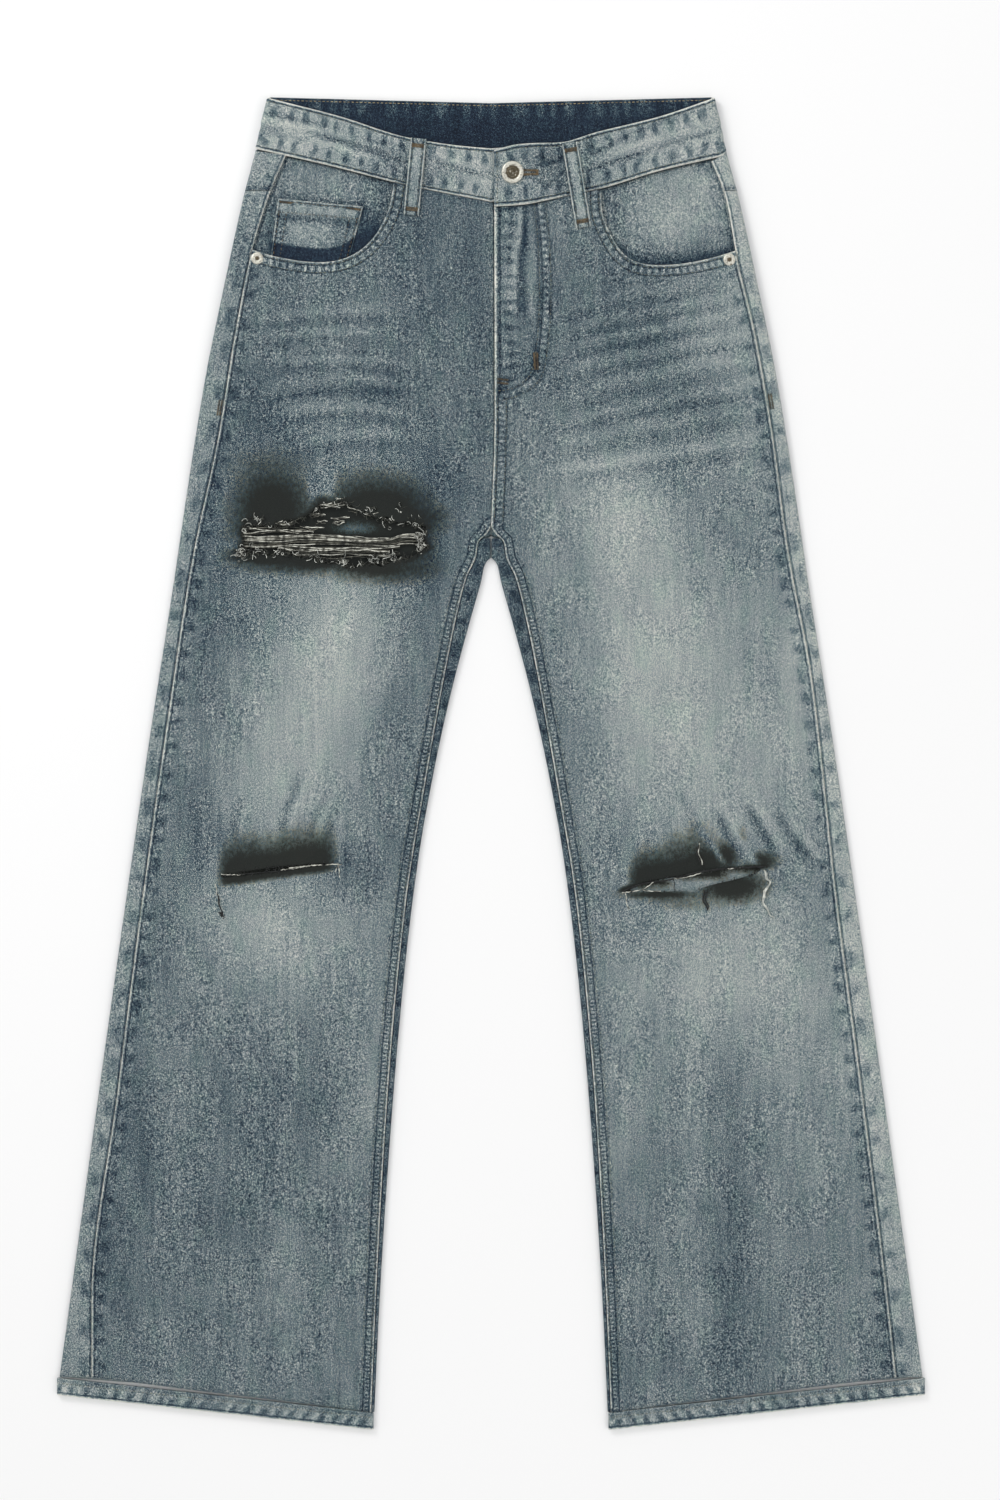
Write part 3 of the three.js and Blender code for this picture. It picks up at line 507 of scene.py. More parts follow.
def tint(x, y):
    """How dark the cloth is made round the tears, from 0 to 1: sprayed black stain, and painted
    shadow along the upper lip of the left knee slit and under the lower edges.
    """
    total = np.zeros(np.shape(x))
    for cx, cy, rx, ry, amount, firm in TINT_AND_SHADE_SPOTS:
        off = np.hypot((x - cx) / rx, (y - cy) / ry)
        overlap = 0.25 * amount * np.exp(-(off**2)) * (total > 0.1)
        total = np.maximum(total, amount * np.exp(-(off**firm))) + overlap
    for x0, x1, y0, y1, above, below, amount in TINT_BARS:
        middle = mix(y0, y1, (x - x0) / (x1 - x0))
        brushed = 1 + 0.04 * np.sin(x / 1.9) + 0.06 * np.sin(x / 6.3 + 1)
        reach = np.where(y > middle, above * brushed, below)
        across = ramp(x, x0 - 8, x0 + 6) * (1 - ramp(x, x1 - 8, x1 + 10))
        total = np.maximum(total, amount * across * np.exp(-(np.abs((y - middle) / reach) ** 2.6)))
    for x0, y0, x1, y1, wide in ((163, -50, 187, -82, 2.2), (184, -52, 214, -84, 3.4)):
        total = total - 0.9 * streak(x, y, x0, y0, x1, y1, wide)
    total = total - 0.9 * spot(x, y, -134, 217, 8, 11)
    rip_gap, _ = to_line(x, y, np.vstack([THIGH_RIP, THIGH_RIP[:1]]))
    fringe = 3.6 + 4 * spot(x, y, -80, 156, 30, 16) + 2 * ramp(y, 184, 196)
    total = np.maximum(total, 1.05 * hump(rip_gap, 0, fringe))
    # painted shadow: a dark line along the upper lip of the left knee slit, where the lip shades the slit
    lip_gap, _ = to_line(x, y, LEFT_KNEE_LIP)
    return np.clip(np.maximum(total, 1.1 * hump(lip_gap, 0, 2.2)), 0, 1)

# %% [markdown]
# The seat and the backs of the thighs also fade. They lie on the floor and are hardly seen, so a
# few wide spots, the same on both legs, are enough.

# %% Fades on the back
BACK_FADES = [
    (0, 330, 150, 75, 0.1), (0, 120, 230, 90, 0.06), (0, -120, 260, 90, 0.05), (0, -440, 300, 60, 0.04),
]


def back_wash(x, y):
    """How pale the back is: the seat and the backs of the thighs are worn."""
    shade = np.full(np.shape(x), BASE_SHADE - 0.01)
    for cx, cy, rx, ry, amount in BACK_FADES:
        shade = shade + amount * spot(np.abs(x), y, cx + 105, cy, rx * 0.5, ry)
    return shade


# %% [markdown]
# Denim is a twill: pale weft shows through dark warp in fine diagonal lines, and thick and thin
# yarn makes long vertical slubs. Grain, wear at the seams, and the colour itself are used by all
# the cloth, so each is a shader node group. The colour group holds the one ramp that takes the
# cloth from indigo through slate to off-white, which keeps every piece in the same family.

# %% Helpers for shader trees
def linear(red, green, blue):
    """A colour as the eye names it, 0 to 255, turned into the light that a shader needs."""
    out = []
    for value in (red, green, blue):
        v = value / 255
        out.append(v / 12.92 if v <= 0.04045 else ((v + 0.055) / 1.055) ** 2.4)
    return (*out, 1.0)


class Tree:
    """A few short ways to add and join shader nodes."""

    def __init__(self, tree):
        self.tree = tree

    def add(self, kind, values=None, **settings):
        node = self.tree.nodes.new(kind)
        for name, value in settings.items():
            setattr(node, name, value)
        for name, value in (values or {}).items():
            self.feed(node.inputs[name], value)
        return node

    def out(self, kind, values=None, **settings):
        """The first output of a new node."""
        return self.add(kind, values, **settings).outputs[0]

    def feed(self, socket, value):
        if isinstance(value, bpy.types.NodeSocket):
            self.tree.links.new(value, socket)
        else:
            socket.default_value = value

    def math(self, operation, a, b=0.0, clamp=False):
        node = self.add("ShaderNodeMath", operation=operation, use_clamp=clamp)
        self.feed(node.inputs[0], a)
        self.feed(node.inputs[1], b)
        return node.outputs[0]

    def times(self, a, b):
        return self.math("MULTIPLY", a, b)

    def plus(self, a, b):
        return self.math("ADD", a, b)

    def less(self, a, b):
        return self.math("SUBTRACT", a, b)

    def mixed(self, share, a, b, blend="MIX"):
        """One colour laid over another."""
        node = self.add("ShaderNodeMix", {"Factor": share}, data_type="RGBA", blend_type=blend)
        self.feed(node.inputs[6], a)
        self.feed(node.inputs[7], b)
        return node.outputs[2]

    def emboss(self, shader, height, strength, distance):
        """Lets a pattern raise the surface a little."""
        bump = self.add("ShaderNodeBump", {"Height": height, "Strength": strength, "Distance": distance})
        self.feed(shader.inputs["Normal"], bump.outputs["Normal"])

    def soft_step(self, value, start, end, low=0.0, high=1.0):
        """A smooth change from low to high as value goes from start to end."""
        node = self.add("ShaderNodeMapRange", interpolation_type="SMOOTHSTEP")
        for name, number in (("From Min", start), ("From Max", end), ("To Min", low), ("To Max", high)):
            self.feed(node.inputs[name], number)
        self.feed(node.inputs["Value"], value)
        return node.outputs["Result"]

    def noise(self, vector, scale, detail=2.0, stretch=(1.0, 1.0, 1.0)):
        place = self.add("ShaderNodeMapping", {"Vector": vector, "Scale": stretch})
        node = self.add("ShaderNodeTexNoise", {"Vector": place.outputs[0], "Scale": scale, "Detail": detail})
        return node.outputs["Fac"]

    def bands(self, vector, scale, turn, distortion=1.0):
        """Fine parallel lines, turned by an angle in the plane of the cloth."""
        place = self.add("ShaderNodeMapping", {"Vector": vector, "Rotation": (0, 0, turn)})
        node = self.add("ShaderNodeTexWave", {"Vector": place.outputs[0], "Scale": scale}, wave_type="BANDS")
        self.feed(node.inputs["Distortion"], distortion)
        self.feed(node.inputs["Detail"], 1.0)
        return node.outputs["Fac"]


def new_finish(name):
    """A new material, its tree, its shader, and the place on the piece in its own frame."""
    material = bpy.data.materials.new(name)
    material.use_nodes = True
    tree = Tree(material.node_tree)
    where = tree.add("ShaderNodeTexCoord").outputs["Object"]
    return material, tree, material.node_tree.nodes["Principled BSDF"], where


def new_group(name, inputs, outputs):
    """An empty shader group with named sockets, and its tree, input and output nodes."""
    group = bpy.data.node_groups.new(name, "ShaderNodeTree")
    kinds = {"value": "NodeSocketFloat", "vector": "NodeSocketVector", "colour": "NodeSocketColor"}
    for socket, kind in inputs:
        group.interface.new_socket(socket, in_out="INPUT", socket_type=kinds[kind])
    for socket, kind in outputs:
        group.interface.new_socket(socket, in_out="OUTPUT", socket_type=kinds[kind])
    tree = Tree(group)
    return group, tree, tree.add("NodeGroupInput"), tree.add("NodeGroupOutput")

# %% [markdown]
# The grain of denim has several sizes at once: specks of bare weft, single yarns, long slubs that
# run down the leg, slow clouds from the wash, and the slanting twill. Each is one noise or one set
# of bands, and they are added up with a weight each. The same sum feeds a very low bump.

# %% Denim grain: yarn, slubs and twill
def grain_group():
    group, tree, given, result = new_group(
        "denim_grain",
        [("Vector", "vector")],
        [("Grain", "value"), ("Height", "value")],
    )
    where = given.outputs["Vector"]
    speckle = tree.noise(where, 1450.0, 1.0)
    yarn = tree.noise(where, 900.0, 0.0, stretch=(1.4, 0.5, 1.0))
    slub = tree.noise(where, 380.0, 1.0, stretch=(1.0, 0.07, 1.0))
    cloud = tree.noise(where, 34.0, 2.0, stretch=(1.0, 0.6, 1.0))
    twill = tree.bands(where, 260.0, math.radians(38), 1.6)
    parts = [(speckle, 1.3), (yarn, 0.26), (slub, 0.15), (cloud, 0.13), (twill, 0.09)]
    total = None
    for value, weight in parts:
        centred = tree.less(value, 0.5)
        part = tree.times(centred, weight)
        total = part if total is None else tree.plus(total, part)
    tree.feed(result.inputs["Grain"], total)
    height = tree.plus(tree.times(twill, 0.5), tree.times(speckle, 0.9))
    tree.feed(result.inputs["Height"], height)
    return group


GRAIN = grain_group()

# %% [markdown]
# A seam wears in a pattern that everyone knows: its rim goes white and the cloth between the
# rows of stitches puckers into light and dark rungs. Beside the rim the group paints a dark line,
# partly the stitch row there and partly painted shade in the groove. It would take a very fine
# mesh to carry that as geometry, so the mesh only says how far each point is from the seam and
# how far along, and this group draws the pattern from those two numbers.

# %% Seam wear: pale edges, dark puckers and painted groove shade
def wear_group():
    """Edge is the distance to the nearest worn edge in mm, and Phase counts dimples along it.
    Ladder says how strongly the cloth between two rows of stitches is drawn into rungs."""
    group, tree, given, result = new_group(
        "seam_wear",
        [("Vector", "vector"), ("Edge", "value"), ("Phase", "value"), ("Ladder", "value"),
         ("Reach", "value"), ("Width", "value")],
        [("Worn", "value"), ("Dark_and_shade", "value"), ("Rungs", "value")],
    )
    where = given.outputs["Vector"]
    edge, phase, ladder = given.outputs["Edge"], given.outputs["Phase"], given.outputs["Ladder"]
    breakup = tree.noise(where, 260.0, 3.0)
    wobble = tree.noise(where, 60.0, 2.0)
    frayed = tree.plus(edge, tree.times(tree.less(breakup, 0.5), 1.4))
    line = tree.soft_step(frayed, given.outputs["Width"], 0.2, 0.0, 1.0)
    patchy = tree.soft_step(wobble, 0.3, 0.6, 0.65, 1.0)
    tree.feed(result.inputs["Worn"], tree.times(line, patchy))

    def ridge(centre, half):
        """1 on a line at a distance from the edge, falling to 0 at half its width."""
        off = tree.math("ABSOLUTE", tree.less(frayed, centre))
        return tree.soft_step(off, half, 0.2 * half)

    wave = tree.math("SINE", tree.times(phase, 2 * math.pi))
    rungs = tree.times(wave, ridge(5.2, 3.2))
    rungs = tree.times(rungs, ladder)
    tree.feed(result.inputs["Rungs"], rungs)
    slow = tree.plus(phase, tree.times(wobble, 1.2))
    spots = tree.soft_step(tree.math("SINE", tree.times(slow, 2 * math.pi)), -0.2, 1.0)
    off = tree.less(edge, given.outputs["Reach"])
    off = tree.math("ABSOLUTE", tree.math("DIVIDE", off, given.outputs["Reach"]))
    near = tree.soft_step(off, 0.95, 0.0)
    rough = tree.soft_step(breakup, 0.25, 0.6, 0.7, 1.0)
    dots = tree.times(tree.times(spots, near), rough)
    dots = tree.times(dots, tree.less(1.0, ladder))
    # a dark line beside the white rim: partly the stitch row, partly painted shade in the groove
    groove = ridge(tree.plus(given.outputs["Width"], 0.7), 1.0)
    second = tree.times(ridge(8.6, 1.1), ladder)
    lines = tree.times(tree.plus(groove, second), 1.3)
    tree.feed(result.inputs["Dark_and_shade"], tree.plus(dots, lines))
    return group


WEAR = wear_group()

# %% [markdown]
# Indigo doesn't fade in a straight line. It goes from navy through slate and grey-blue to a warm
# off-white, so one ramp of ten colours holds the way. Patches of plum and moss, which old denim
# has, are laid over it very thinly, and the near-black of the tint, which also carries painted
# shadow in and round the tears, covers all of it.

# %% Denim colour: from indigo to off-white
COLOUR_STOPS = [
    (0.0, (19, 26, 38)), (0.14, (31, 43, 60)), (0.26, (48, 67, 81)), (0.36, (74, 95, 104)),
    (0.42, (91, 110, 116)), (0.5, (116, 131, 135)), (0.6, (148, 158, 158)),
    (0.72, (182, 188, 183)), (0.86, (214, 216, 207)), (1.0, (238, 236, 226)),
]
# near-black used both for the sprayed stain and for the painted shadow in and round the tears
TINT_AND_SHADOW_COLOUR = linear(33, 35, 33)
PLUM_CAST = (1.0, 0.87, 0.97, 1.0)
MOSS_CAST = (0.82, 1.0, 0.9, 1.0)
RIM_CAST = (0.98, 0.9, 0.76, 1.0)


def colour_group():
    """Shade is how pale the cloth is; the other input is how much black stain and painted shadow lie on it.
    """
    group, tree, given, result = new_group(
        "denim_colour",
        [("Vector", "vector"), ("Shade", "value"), ("Tint", "value")],
        [("Colour", "colour")],
    )
    ramp_node = tree.add("ShaderNodeValToRGB", {"Fac": given.outputs["Shade"]})
    stops = ramp_node.color_ramp.elements
    while len(stops) < len(COLOUR_STOPS):
        stops.new(0.5)
    for stop, (place, colour) in zip(stops, COLOUR_STOPS, strict=True):
        stop.position = place
        stop.color = linear(*colour)
    where, ink_and_shadow = given.outputs["Vector"], given.outputs["Tint"]
    plum_mask = tree.soft_step(tree.noise(where, 90.0, 3.0), 0.42, 0.66, 0.0, 0.16)
    moss = tree.noise(where, 55.0, 3.0, stretch=(1.3, 0.7, 1.0))
    moss_mask = tree.soft_step(moss, 0.48, 0.7, 0.0, 0.3)
    rim_mask = tree.soft_step(ink_and_shadow, 0.0, 0.35)
    colour = ramp_node.outputs["Color"]
    for mask, cast in ((plum_mask, PLUM_CAST), (moss_mask, MOSS_CAST), (rim_mask, RIM_CAST)):
        colour = tree.mixed(mask, colour, cast, "MULTIPLY")
    tree.feed(result.inputs["Colour"], tree.mixed(ink_and_shadow, colour, TINT_AND_SHADOW_COLOUR))
    return group


COLOUR = colour_group()


# %% [markdown]
# One function makes every denim finish. The mesh carries a few numbers at each point: how pale
# the wash is, how much tint and painted shadow there is, how far the point is from and along a
# worn edge, and how strongly the cloth is drawn into rungs there. The material adds the grain,
# the seam wear and the painted shade in the groove beside each seam, so a fine white edge stays
# crisp on a coarse mesh.

# %% Denim finishes
def denim(name, inner=False, shift=0.0, contrast=1.0, worn=0.4, dark=0.16, rungs=0.14, reach=7.0, width=1.5):
    """A denim material; shift pales it, and the rest set how its seams have worn, with dark also
    setting the painted shade in the groove beside them.
    """
    material, tree, shader, where = new_finish(name)
    prefix = "inner_" if inner else ""
    read = {}
    for field in (prefix + "shade", prefix + "tint", "edge", "phase", "ladder"):
        read[field] = tree.add("ShaderNodeAttribute", attribute_name=field).outputs["Fac"]
    shade, ink_and_shadow = read[prefix + "shade"], read[prefix + "tint"]
    grain = tree.add("ShaderNodeGroup", node_tree=GRAIN)
    tree.feed(grain.inputs["Vector"], where)
    calm = tree.soft_step(ink_and_shadow, 0.2, 0.95, contrast, 0.3 * contrast)
    calm = tree.times(calm, tree.soft_step(shade, 0.38, 0.6, 1.35, 0.9))
    calm = tree.times(calm, tree.soft_step(shade, 0.12, 0.3, 0.45, 1.0))
    shade = tree.plus(shade, tree.times(grain.outputs["Grain"], calm))
    shade = tree.plus(shade, shift)
    if not inner:
        wear = tree.add("ShaderNodeGroup", node_tree=WEAR)
        settings = (("Vector", where), ("Edge", read["edge"]), ("Phase", read["phase"]))
        for socket, value in (*settings, ("Ladder", read["ladder"]), ("Reach", reach), ("Width", width)):
            tree.feed(wear.inputs[socket], value)
        shade = tree.plus(shade, tree.times(wear.outputs["Rungs"], rungs))
        # darker dimples and stitch lines, and painted shade in the groove beside each white rim
        shade = tree.less(shade, tree.times(wear.outputs["Dark_and_shade"], dark))
        shade = tree.plus(shade, tree.times(wear.outputs["Worn"], worn))
    partly = tree.times(ink_and_shadow, tree.less(1.05, ink_and_shadow))
    ragged = tree.noise(where, 420.0, 2.0, stretch=(1.0, 0.7, 1.0))
    ragged = tree.times(tree.less(ragged, 0.5), 0.6)
    ragged = tree.plus(grain.outputs["Grain"], ragged)
    speckled = tree.times(tree.times(partly, 5.0), ragged)
    ink_and_shadow = tree.soft_step(tree.plus(ink_and_shadow, speckled), 0.08, 0.96, 0.0, 0.96)
    colour = tree.add("ShaderNodeGroup", node_tree=COLOUR)
    for socket, value in (("Vector", where), ("Shade", shade), ("Tint", ink_and_shadow)):
        tree.feed(colour.inputs[socket], value)
    tree.feed(shader.inputs["Base Color"], colour.outputs["Colour"])
    tree.emboss(shader, grain.outputs["Height"], 0.4, 0.0004)
    shader.inputs["Roughness"].default_value = 0.92
    shader.inputs["Specular IOR Level"].default_value = 0.18
    shader.inputs["Sheen Weight"].default_value = 0.05
    return material


PANEL_DENIM = denim("panel_denim", dark=0.18, reach=7.0, width=1.8, worn=0.44)
BAND_DENIM = denim("band_denim", dark=0.27, reach=8.6, width=1.5, worn=0.36, contrast=1.15)
LOOP_DENIM = denim("loop_denim", dark=0.14, reach=2.4, width=1.1, worn=0.26)
HEM_DENIM = denim("hem_denim", dark=0.2, reach=5.0, width=1.6)
FACING_DENIM = denim("facing_denim", dark=0.1, contrast=1.05, worn=0.34)
INSIDE_DENIM = denim("inside_denim", inner=True, contrast=0.5)
print("denim finishes:", sum(m.name.endswith("denim") for m in bpy.data.materials))

# %% [markdown]
# Every cloth piece is a grid of points on its outer face. The grid becomes a mesh with those
# numbers, any tears are cut out of it with the cut edge drawn on to the tear's outline, and a
# Solidify modifier gives the cloth its wall.

# %% Making a cloth piece from a grid
made_pieces = {}
cut_sizes = {}


def grid_area(grid):
    """Area of a grid of points."""
    a, b = grid[1:, 1:] - grid[:-1, :-1], grid[1:, :-1] - grid[:-1, 1:]
    return float(np.linalg.norm(np.cross(a, b), axis=-1).sum() / 2)


def longest(grid, axis):
    """Length of the longest row or column of a grid of points."""
    return float(np.linalg.norm(np.diff(grid, axis=axis), axis=-1).sum(axis=axis).max())


def grid_faces(rows, columns, closed=False, ring=False):
    """Quads of a grid; closed joins its last column to its first, and ring its last row."""
    r, c = np.meshgrid(
        np.arange(rows if ring else rows - 1), np.arange(columns if closed else columns - 1), indexing="ij",
    )
    r, c = r.ravel(), c.ravel()
    n, s = (c + 1) % columns, (r + 1) % rows
    return np.stack([r * columns + c, r * columns + n, s * columns + n, s * columns + c], axis=1)


def add_piece(name, mesh):
    """An object for a finished mesh, kept by its name."""
    piece = bpy.data.objects.new(name, mesh)
    scene.collection.objects.link(piece)
    made_pieces[name] = piece
    return piece


def mesh_piece(name, points_mm, faces, fields, *materials):
    """A smooth mesh with its numbers at each point; only an end cap of many corners is flat."""
    mesh = bpy.data.meshes.new(name)
    mesh.from_pydata((np.asarray(points_mm) * MM).tolist(), [], faces)
    mesh.polygons.foreach_set("use_smooth", [len(face) <= 4 for face in faces])
    for field, values in fields.items():
        attribute = mesh.attributes.new(field, "FLOAT", "POINT")
        attribute.data.foreach_set("value", np.asarray(values, np.float32).ravel())
    for material in materials:
        mesh.materials.append(material)
    return add_piece(name, mesh)


def cut_out(points, faces, tears):
    """Drops faces inside the tears and draws the cut edges on to the tears' outlines."""
    points = points.copy()
    centre = points[faces].mean(axis=1)
    keep = np.ones(len(faces), bool)
    for outline in tears:
        gone = inside(centre[:, 0], centre[:, 1], outline)
        rim = np.intersect1d(faces[gone & keep].ravel(), faces[~gone & keep].ravel())
        if len(rim):
            _, place = nearest_on(points[rim, :2], outline)
            points[rim, :2] = place
        keep &= ~gone
    faces = faces[keep]
    used, packed = np.unique(faces, return_inverse=True)
    return points[used], packed.reshape(faces.shape), used


def plain_fields(shade, edge, phase):
    """The numbers of a piece with no black stain and no painted shadow on it."""
    return {"shade": shade, "tint": 0 * shade, "edge": edge, "phase": phase}


def cloth_piece(name, grid, fields, material, flip, tears=(), thickness=CLOTH):
    """A thin wall of cloth under a grid of points on its outer face."""
    plain = np.zeros(grid.shape[:2])
    fields = {"inner_shade": plain + 0.34, "inner_tint": plain, "ladder": plain, **fields}
    faces = grid_faces(*grid.shape[:2])
    points, faces, used = cut_out(grid.reshape(-1, 3), faces[:, ::-1] if flip else faces, tears)
    cut_sizes[name] = (longest(grid, 1), longest(grid, 0), grid_area(grid))
    kept = {key: np.ravel(value)[used] for key, value in fields.items()}
    piece = mesh_piece(name, points, faces.tolist(), kept, material, INSIDE_DENIM)
    wall = piece.modifiers.new("wall", "SOLIDIFY")
    wall.thickness = thickness * MM
    wall.offset = -1.0
    wall.use_even_offset = False
    wall.material_offset = 1
    return piece


def spaced(*stretches):
    """Numbers from stretch to stretch, each given as (start, end, step)."""
    parts = []
    for start, end, step in stretches:
        count = max(int(round(abs(end - start) / step)), 1)
        parts.append(np.linspace(start, end, count, endpoint=False))
    return np.append(np.concatenate(parts), stretches[-1][1])


# %% [markdown]
# Front panels. Each runs from the waistband's seam to the hem and from the inseam and the centre
# front out to the side seam. Its corner is scooped away for the pocket mouth. The height of the
# face carries what a hand would feel: the doubled cloth of the fly, the rolled pocket mouth, the
# thick seams with their puckers, and the lips of the tears.

# %% Lines that the front panels are worked from
FLY_STITCH = {
    "outer": [
        (43, 441), (46, 415), (47.5, 385), (47, 350), (45, 328), (41, 304), (27, 292), (11, 287), (3.4, 286),
    ],
    "inner": [
        (34, 441), (37, 415), (38.5, 385), (38, 352), (36, 328), (32.5, 308), (24, 299), (15, 295),
        (3.4, 294),
    ],
}
FLY_LOW = 292.0
FLY_RIDGE = [(23.5, 438), (21, 412), (18.6, 393), (17.4, 376), (18.6, 358)]


def front_inner_edge(side, y):
    """The panel's edge towards the middle: the centre front above the crotch, the inseam below."""
    return np.where(y >= CROTCH_TOP, SIDES[side] * CENTRE_FRONT(y), INSEAM(y))


def seam_lines(side):
    """The front panel's worn edges, as polylines."""
    lines = {
        "side": down_line(SIDE_SEAM[side], 400, HEM_ROW, side),
        "hip": down_line(SIDE_SEAM[side], 486, 398, side),
        "inseam": down_line(INSEAM, CROTCH_TOP, -512, side),
        "mouth": mirrored(sampled(POCKET_MOUTH[side]), side),
        "band": across_line(FRONT_BAND_SEAM[side], 0, 186, side),
    }
    y = np.linspace(443, CROTCH_TOP, 50)
    lines["centre"] = np.stack([CENTRE_FRONT(y), y], axis=1)
    return lines


LINES = {side: seam_lines(side) for side in SIDES}
LINES["fly_outer"] = sampled(FLY_STITCH["outer"])
LINES["fly_inner"] = sampled(FLY_STITCH["inner"])
LINES["fly_ridge"] = sampled(FLY_RIDGE)


def waviness(x, y):
    """The slow unevenness of cloth that was laid down by hand, in mm."""
    return (
        0.35 * np.sin(x / 31 + y / 47 + 0.6)
        + 0.25 * np.sin(x / 17 - y / 71 + 2.0)
        + 0.22 * np.sin(y / 23 + x / 90)
    )


def pucker(edge, run, pitch, reach):
    """Dimples beside a row of stitches, from 0 to 1."""
    wave = 0.5 + 0.5 * np.sin(2 * math.pi * run / pitch + 1.3 * np.sin(run / 41))
    return wave * hump(edge, reach, 0.7 * reach)


SEAM_FORM = {
    # how high the doubled cloth stands, where it starts to end and ends, how deep its edge is
    # turned in and how far, then the depth, pitch and place of its puckers
    "side": (0.55, 6, 13, 0.5, 1.6, 0.35, 19.0, 7.0),
    "inseam": (0.7, 8.5, 11, 0.5, 1.6, 0.35, 8.0, 5.0),
    "mouth": (0.7, 10, 13, 0.5, 1.4, 0.35, 7.0, 5.5),
    "centre": (0.6, 9.5, 12.5, 0.3, 1.2, 0.4, 13.0, 5.0),
}
# the centre front is stitched on the left panel, which carries the fly; the right lies under it
SEWN_SEAMS = {"right": ("side", "inseam", "mouth"), "left": ("side", "inseam", "mouth", "centre")}


def beside_fly(x, y, low):
    """True on the fly, which is the doubled cloth inside the outer row of its stitches."""
    line = LINES["fly_outer"][::-1]
    return (x < np.interp(y, line[:, 1], line[:, 0])) & (y > low)


def front_height(side, x, y):
    """The height of the front panel's face at a point, in mm."""
    seams = {name: to_line(x, y, LINES[side][name]) for name in SEAM_FORM}
    flat = ramp(seams["inseam"][0], 4, 30) * ramp(seams["side"][0], 4, 30)
    _, relief = front_wash(x, y)
    z = front_top(y) + 0.25 + waviness(x, y) * flat + relief
    for name in SEWN_SEAMS[side]:
        rise, level, end, turned, lip, depth, pitch, place = SEAM_FORM[name]
        gap, run = seams[name]
        z = z + rise * (1 - ramp(gap, level, end)) - turned * (1 - ramp(gap, 0, lip))
        z = z - depth * pucker(gap, run, pitch, place)
    if side == "left":
        fly_gap, _ = to_line(x, y, LINES["fly_outer"])
        z = z + 0.7 * np.where(beside_fly(x, y, 290), ramp(fly_gap, 0, 3), 0)
        ridge_gap, _ = to_line(x, y, LINES["fly_ridge"])
        beside, _ = to_line(x - 4.2, y, LINES["fly_ridge"])
        z = z + 0.7 * hump(ridge_gap, 0, 2.6) - 0.8 * hump(beside, 0, 2.4)
    else:
        z = z - 0.8 * (1 - ramp(seams["centre"][0], 0.5, 7)) * ramp(y, 190, 300)
    for outline in TEARS[side]:
        gap, _ = to_line(x, y, np.vstack([outline, outline[:1]]))
        z = z + (0.8 * np.exp(-gap / 7) if side == "left" else 0.7 * np.exp(-gap / 6))
    return z


SEAM_WEAR = {
    # dimple pitch in mm, how fast the edge line fades, and how much of a ladder there is
    "side": (19.0, 1.0, 0.0), "inseam": (3.1, 1.25, 1.0),
    "mouth": (5.4, 1.0, 1.0), "centre": (10.3, 0.58, 0.0),
}


def front_fields(side, x, y):
    """Shade, stain and wear over the front panel, with painted shade under the band, between the
    inseam's rows and in the channel beside the fly's ridge.
    """
    lines = LINES[side]
    shade, _ = front_wash(x, y)
    edge = np.full(np.shape(x), 60.0)
    phase = np.zeros(np.shape(x))
    ladder = np.zeros(np.shape(x))

    def wear_from(gap, along, pitch, scale, rungs, where=True):
        nonlocal edge, phase, ladder
        closer = (gap * scale < edge) & where
        edge = np.where(closer, gap * scale, edge)
        phase = np.where(closer, along / pitch, phase)
        ladder = np.where(closer, rungs, ladder)

    gaps = {}
    for name in SEWN_SEAMS[side]:
        pitch, scale, rungs = SEAM_WEAR[name]
        gap, along = to_line(x, y, lines[name])
        gaps[name] = gap
        if name == "centre":
            rungs = np.where(y < FLY_LOW, 0.8, rungs)
            along = np.where(y < FLY_LOW, along * 2.2, along)
            scale = np.where(y < FLY_LOW, 0.9, scale)
        wear_from(gap, along, pitch, scale, rungs)
    # painted shade between the inseam's two rows of stitches
    shade = shade - 0.06 * hump(gaps["inseam"], 5.5, 4.0)
    shade = shade + 0.03 * hump(gaps["mouth"], 5, 3.0) * (y < 440)
    band_gap, _ = to_line(x, y, lines["band"])
    # painted shade on the panel just under the waistband's edge
    shade = shade - 0.08 * (1 - ramp(band_gap, 0, 9))
    if side == "left":
        fly_gap, fly_run = to_line(x, y, LINES["fly_outer"])
        within = beside_fly(x, y, 287)
        wear_from(fly_gap + 1.9, fly_run, 5.6, 1.0, 0.8, within & (fly_gap < 10) & (x > 9))
        ridge_gap, _ = to_line(x, y, LINES["fly_ridge"])
        beside, _ = to_line(x - 4.4, y, LINES["fly_ridge"])
        # a pale worn ridge on the fly, and painted shade in the channel beside it
        shade = shade + 0.17 * (hump(ridge_gap, 0, 2.0) - hump(beside, 0, 2.4))
        shade = shade - 0.12 * streak(x, y, 27, 432, 26, 330, 2.4)
        shade = shade + 0.1 * streak(x, y, 31.5, 420, 31.5, 345, 2.0)
        shade = shade + 0.07 * hump(fly_gap, 4, 2.4) * within * (0.6 + 0.4 * np.sin(y / 7))
        shade = shade + 0.06 * np.where(within, 1, 0) * np.sin(y / 8.5 + x / 3) * np.sin(x / 2.6)
        inner_gap, _ = to_line(x, y, LINES["fly_inner"])
        rows = hump(fly_gap, 0, 1.3) + hump(inner_gap, 0, 1.3)
        shade = shade - 0.13 * rows * (x > 4)
        shade = shade + spots(x, y, (9, 297, 6, 7, -0.13), (36, 318, 5, 10, -0.1))
    return {"shade": shade, "tint": tint(x, y), "edge": edge, "phase": phase, "ladder": ladder}

# %% [markdown]
# Each front panel is one grid, which is the simplest mesh that can follow two seams at once. Its
# columns run from the inseam to the side seam. Its rows turn to follow the hem below and the band
# above, and lie closer together near the tears and the top, where the outline is fine.

# %% Front panels
LEVEL_TOP, LEVEL_LOW = 262.0, -380.0


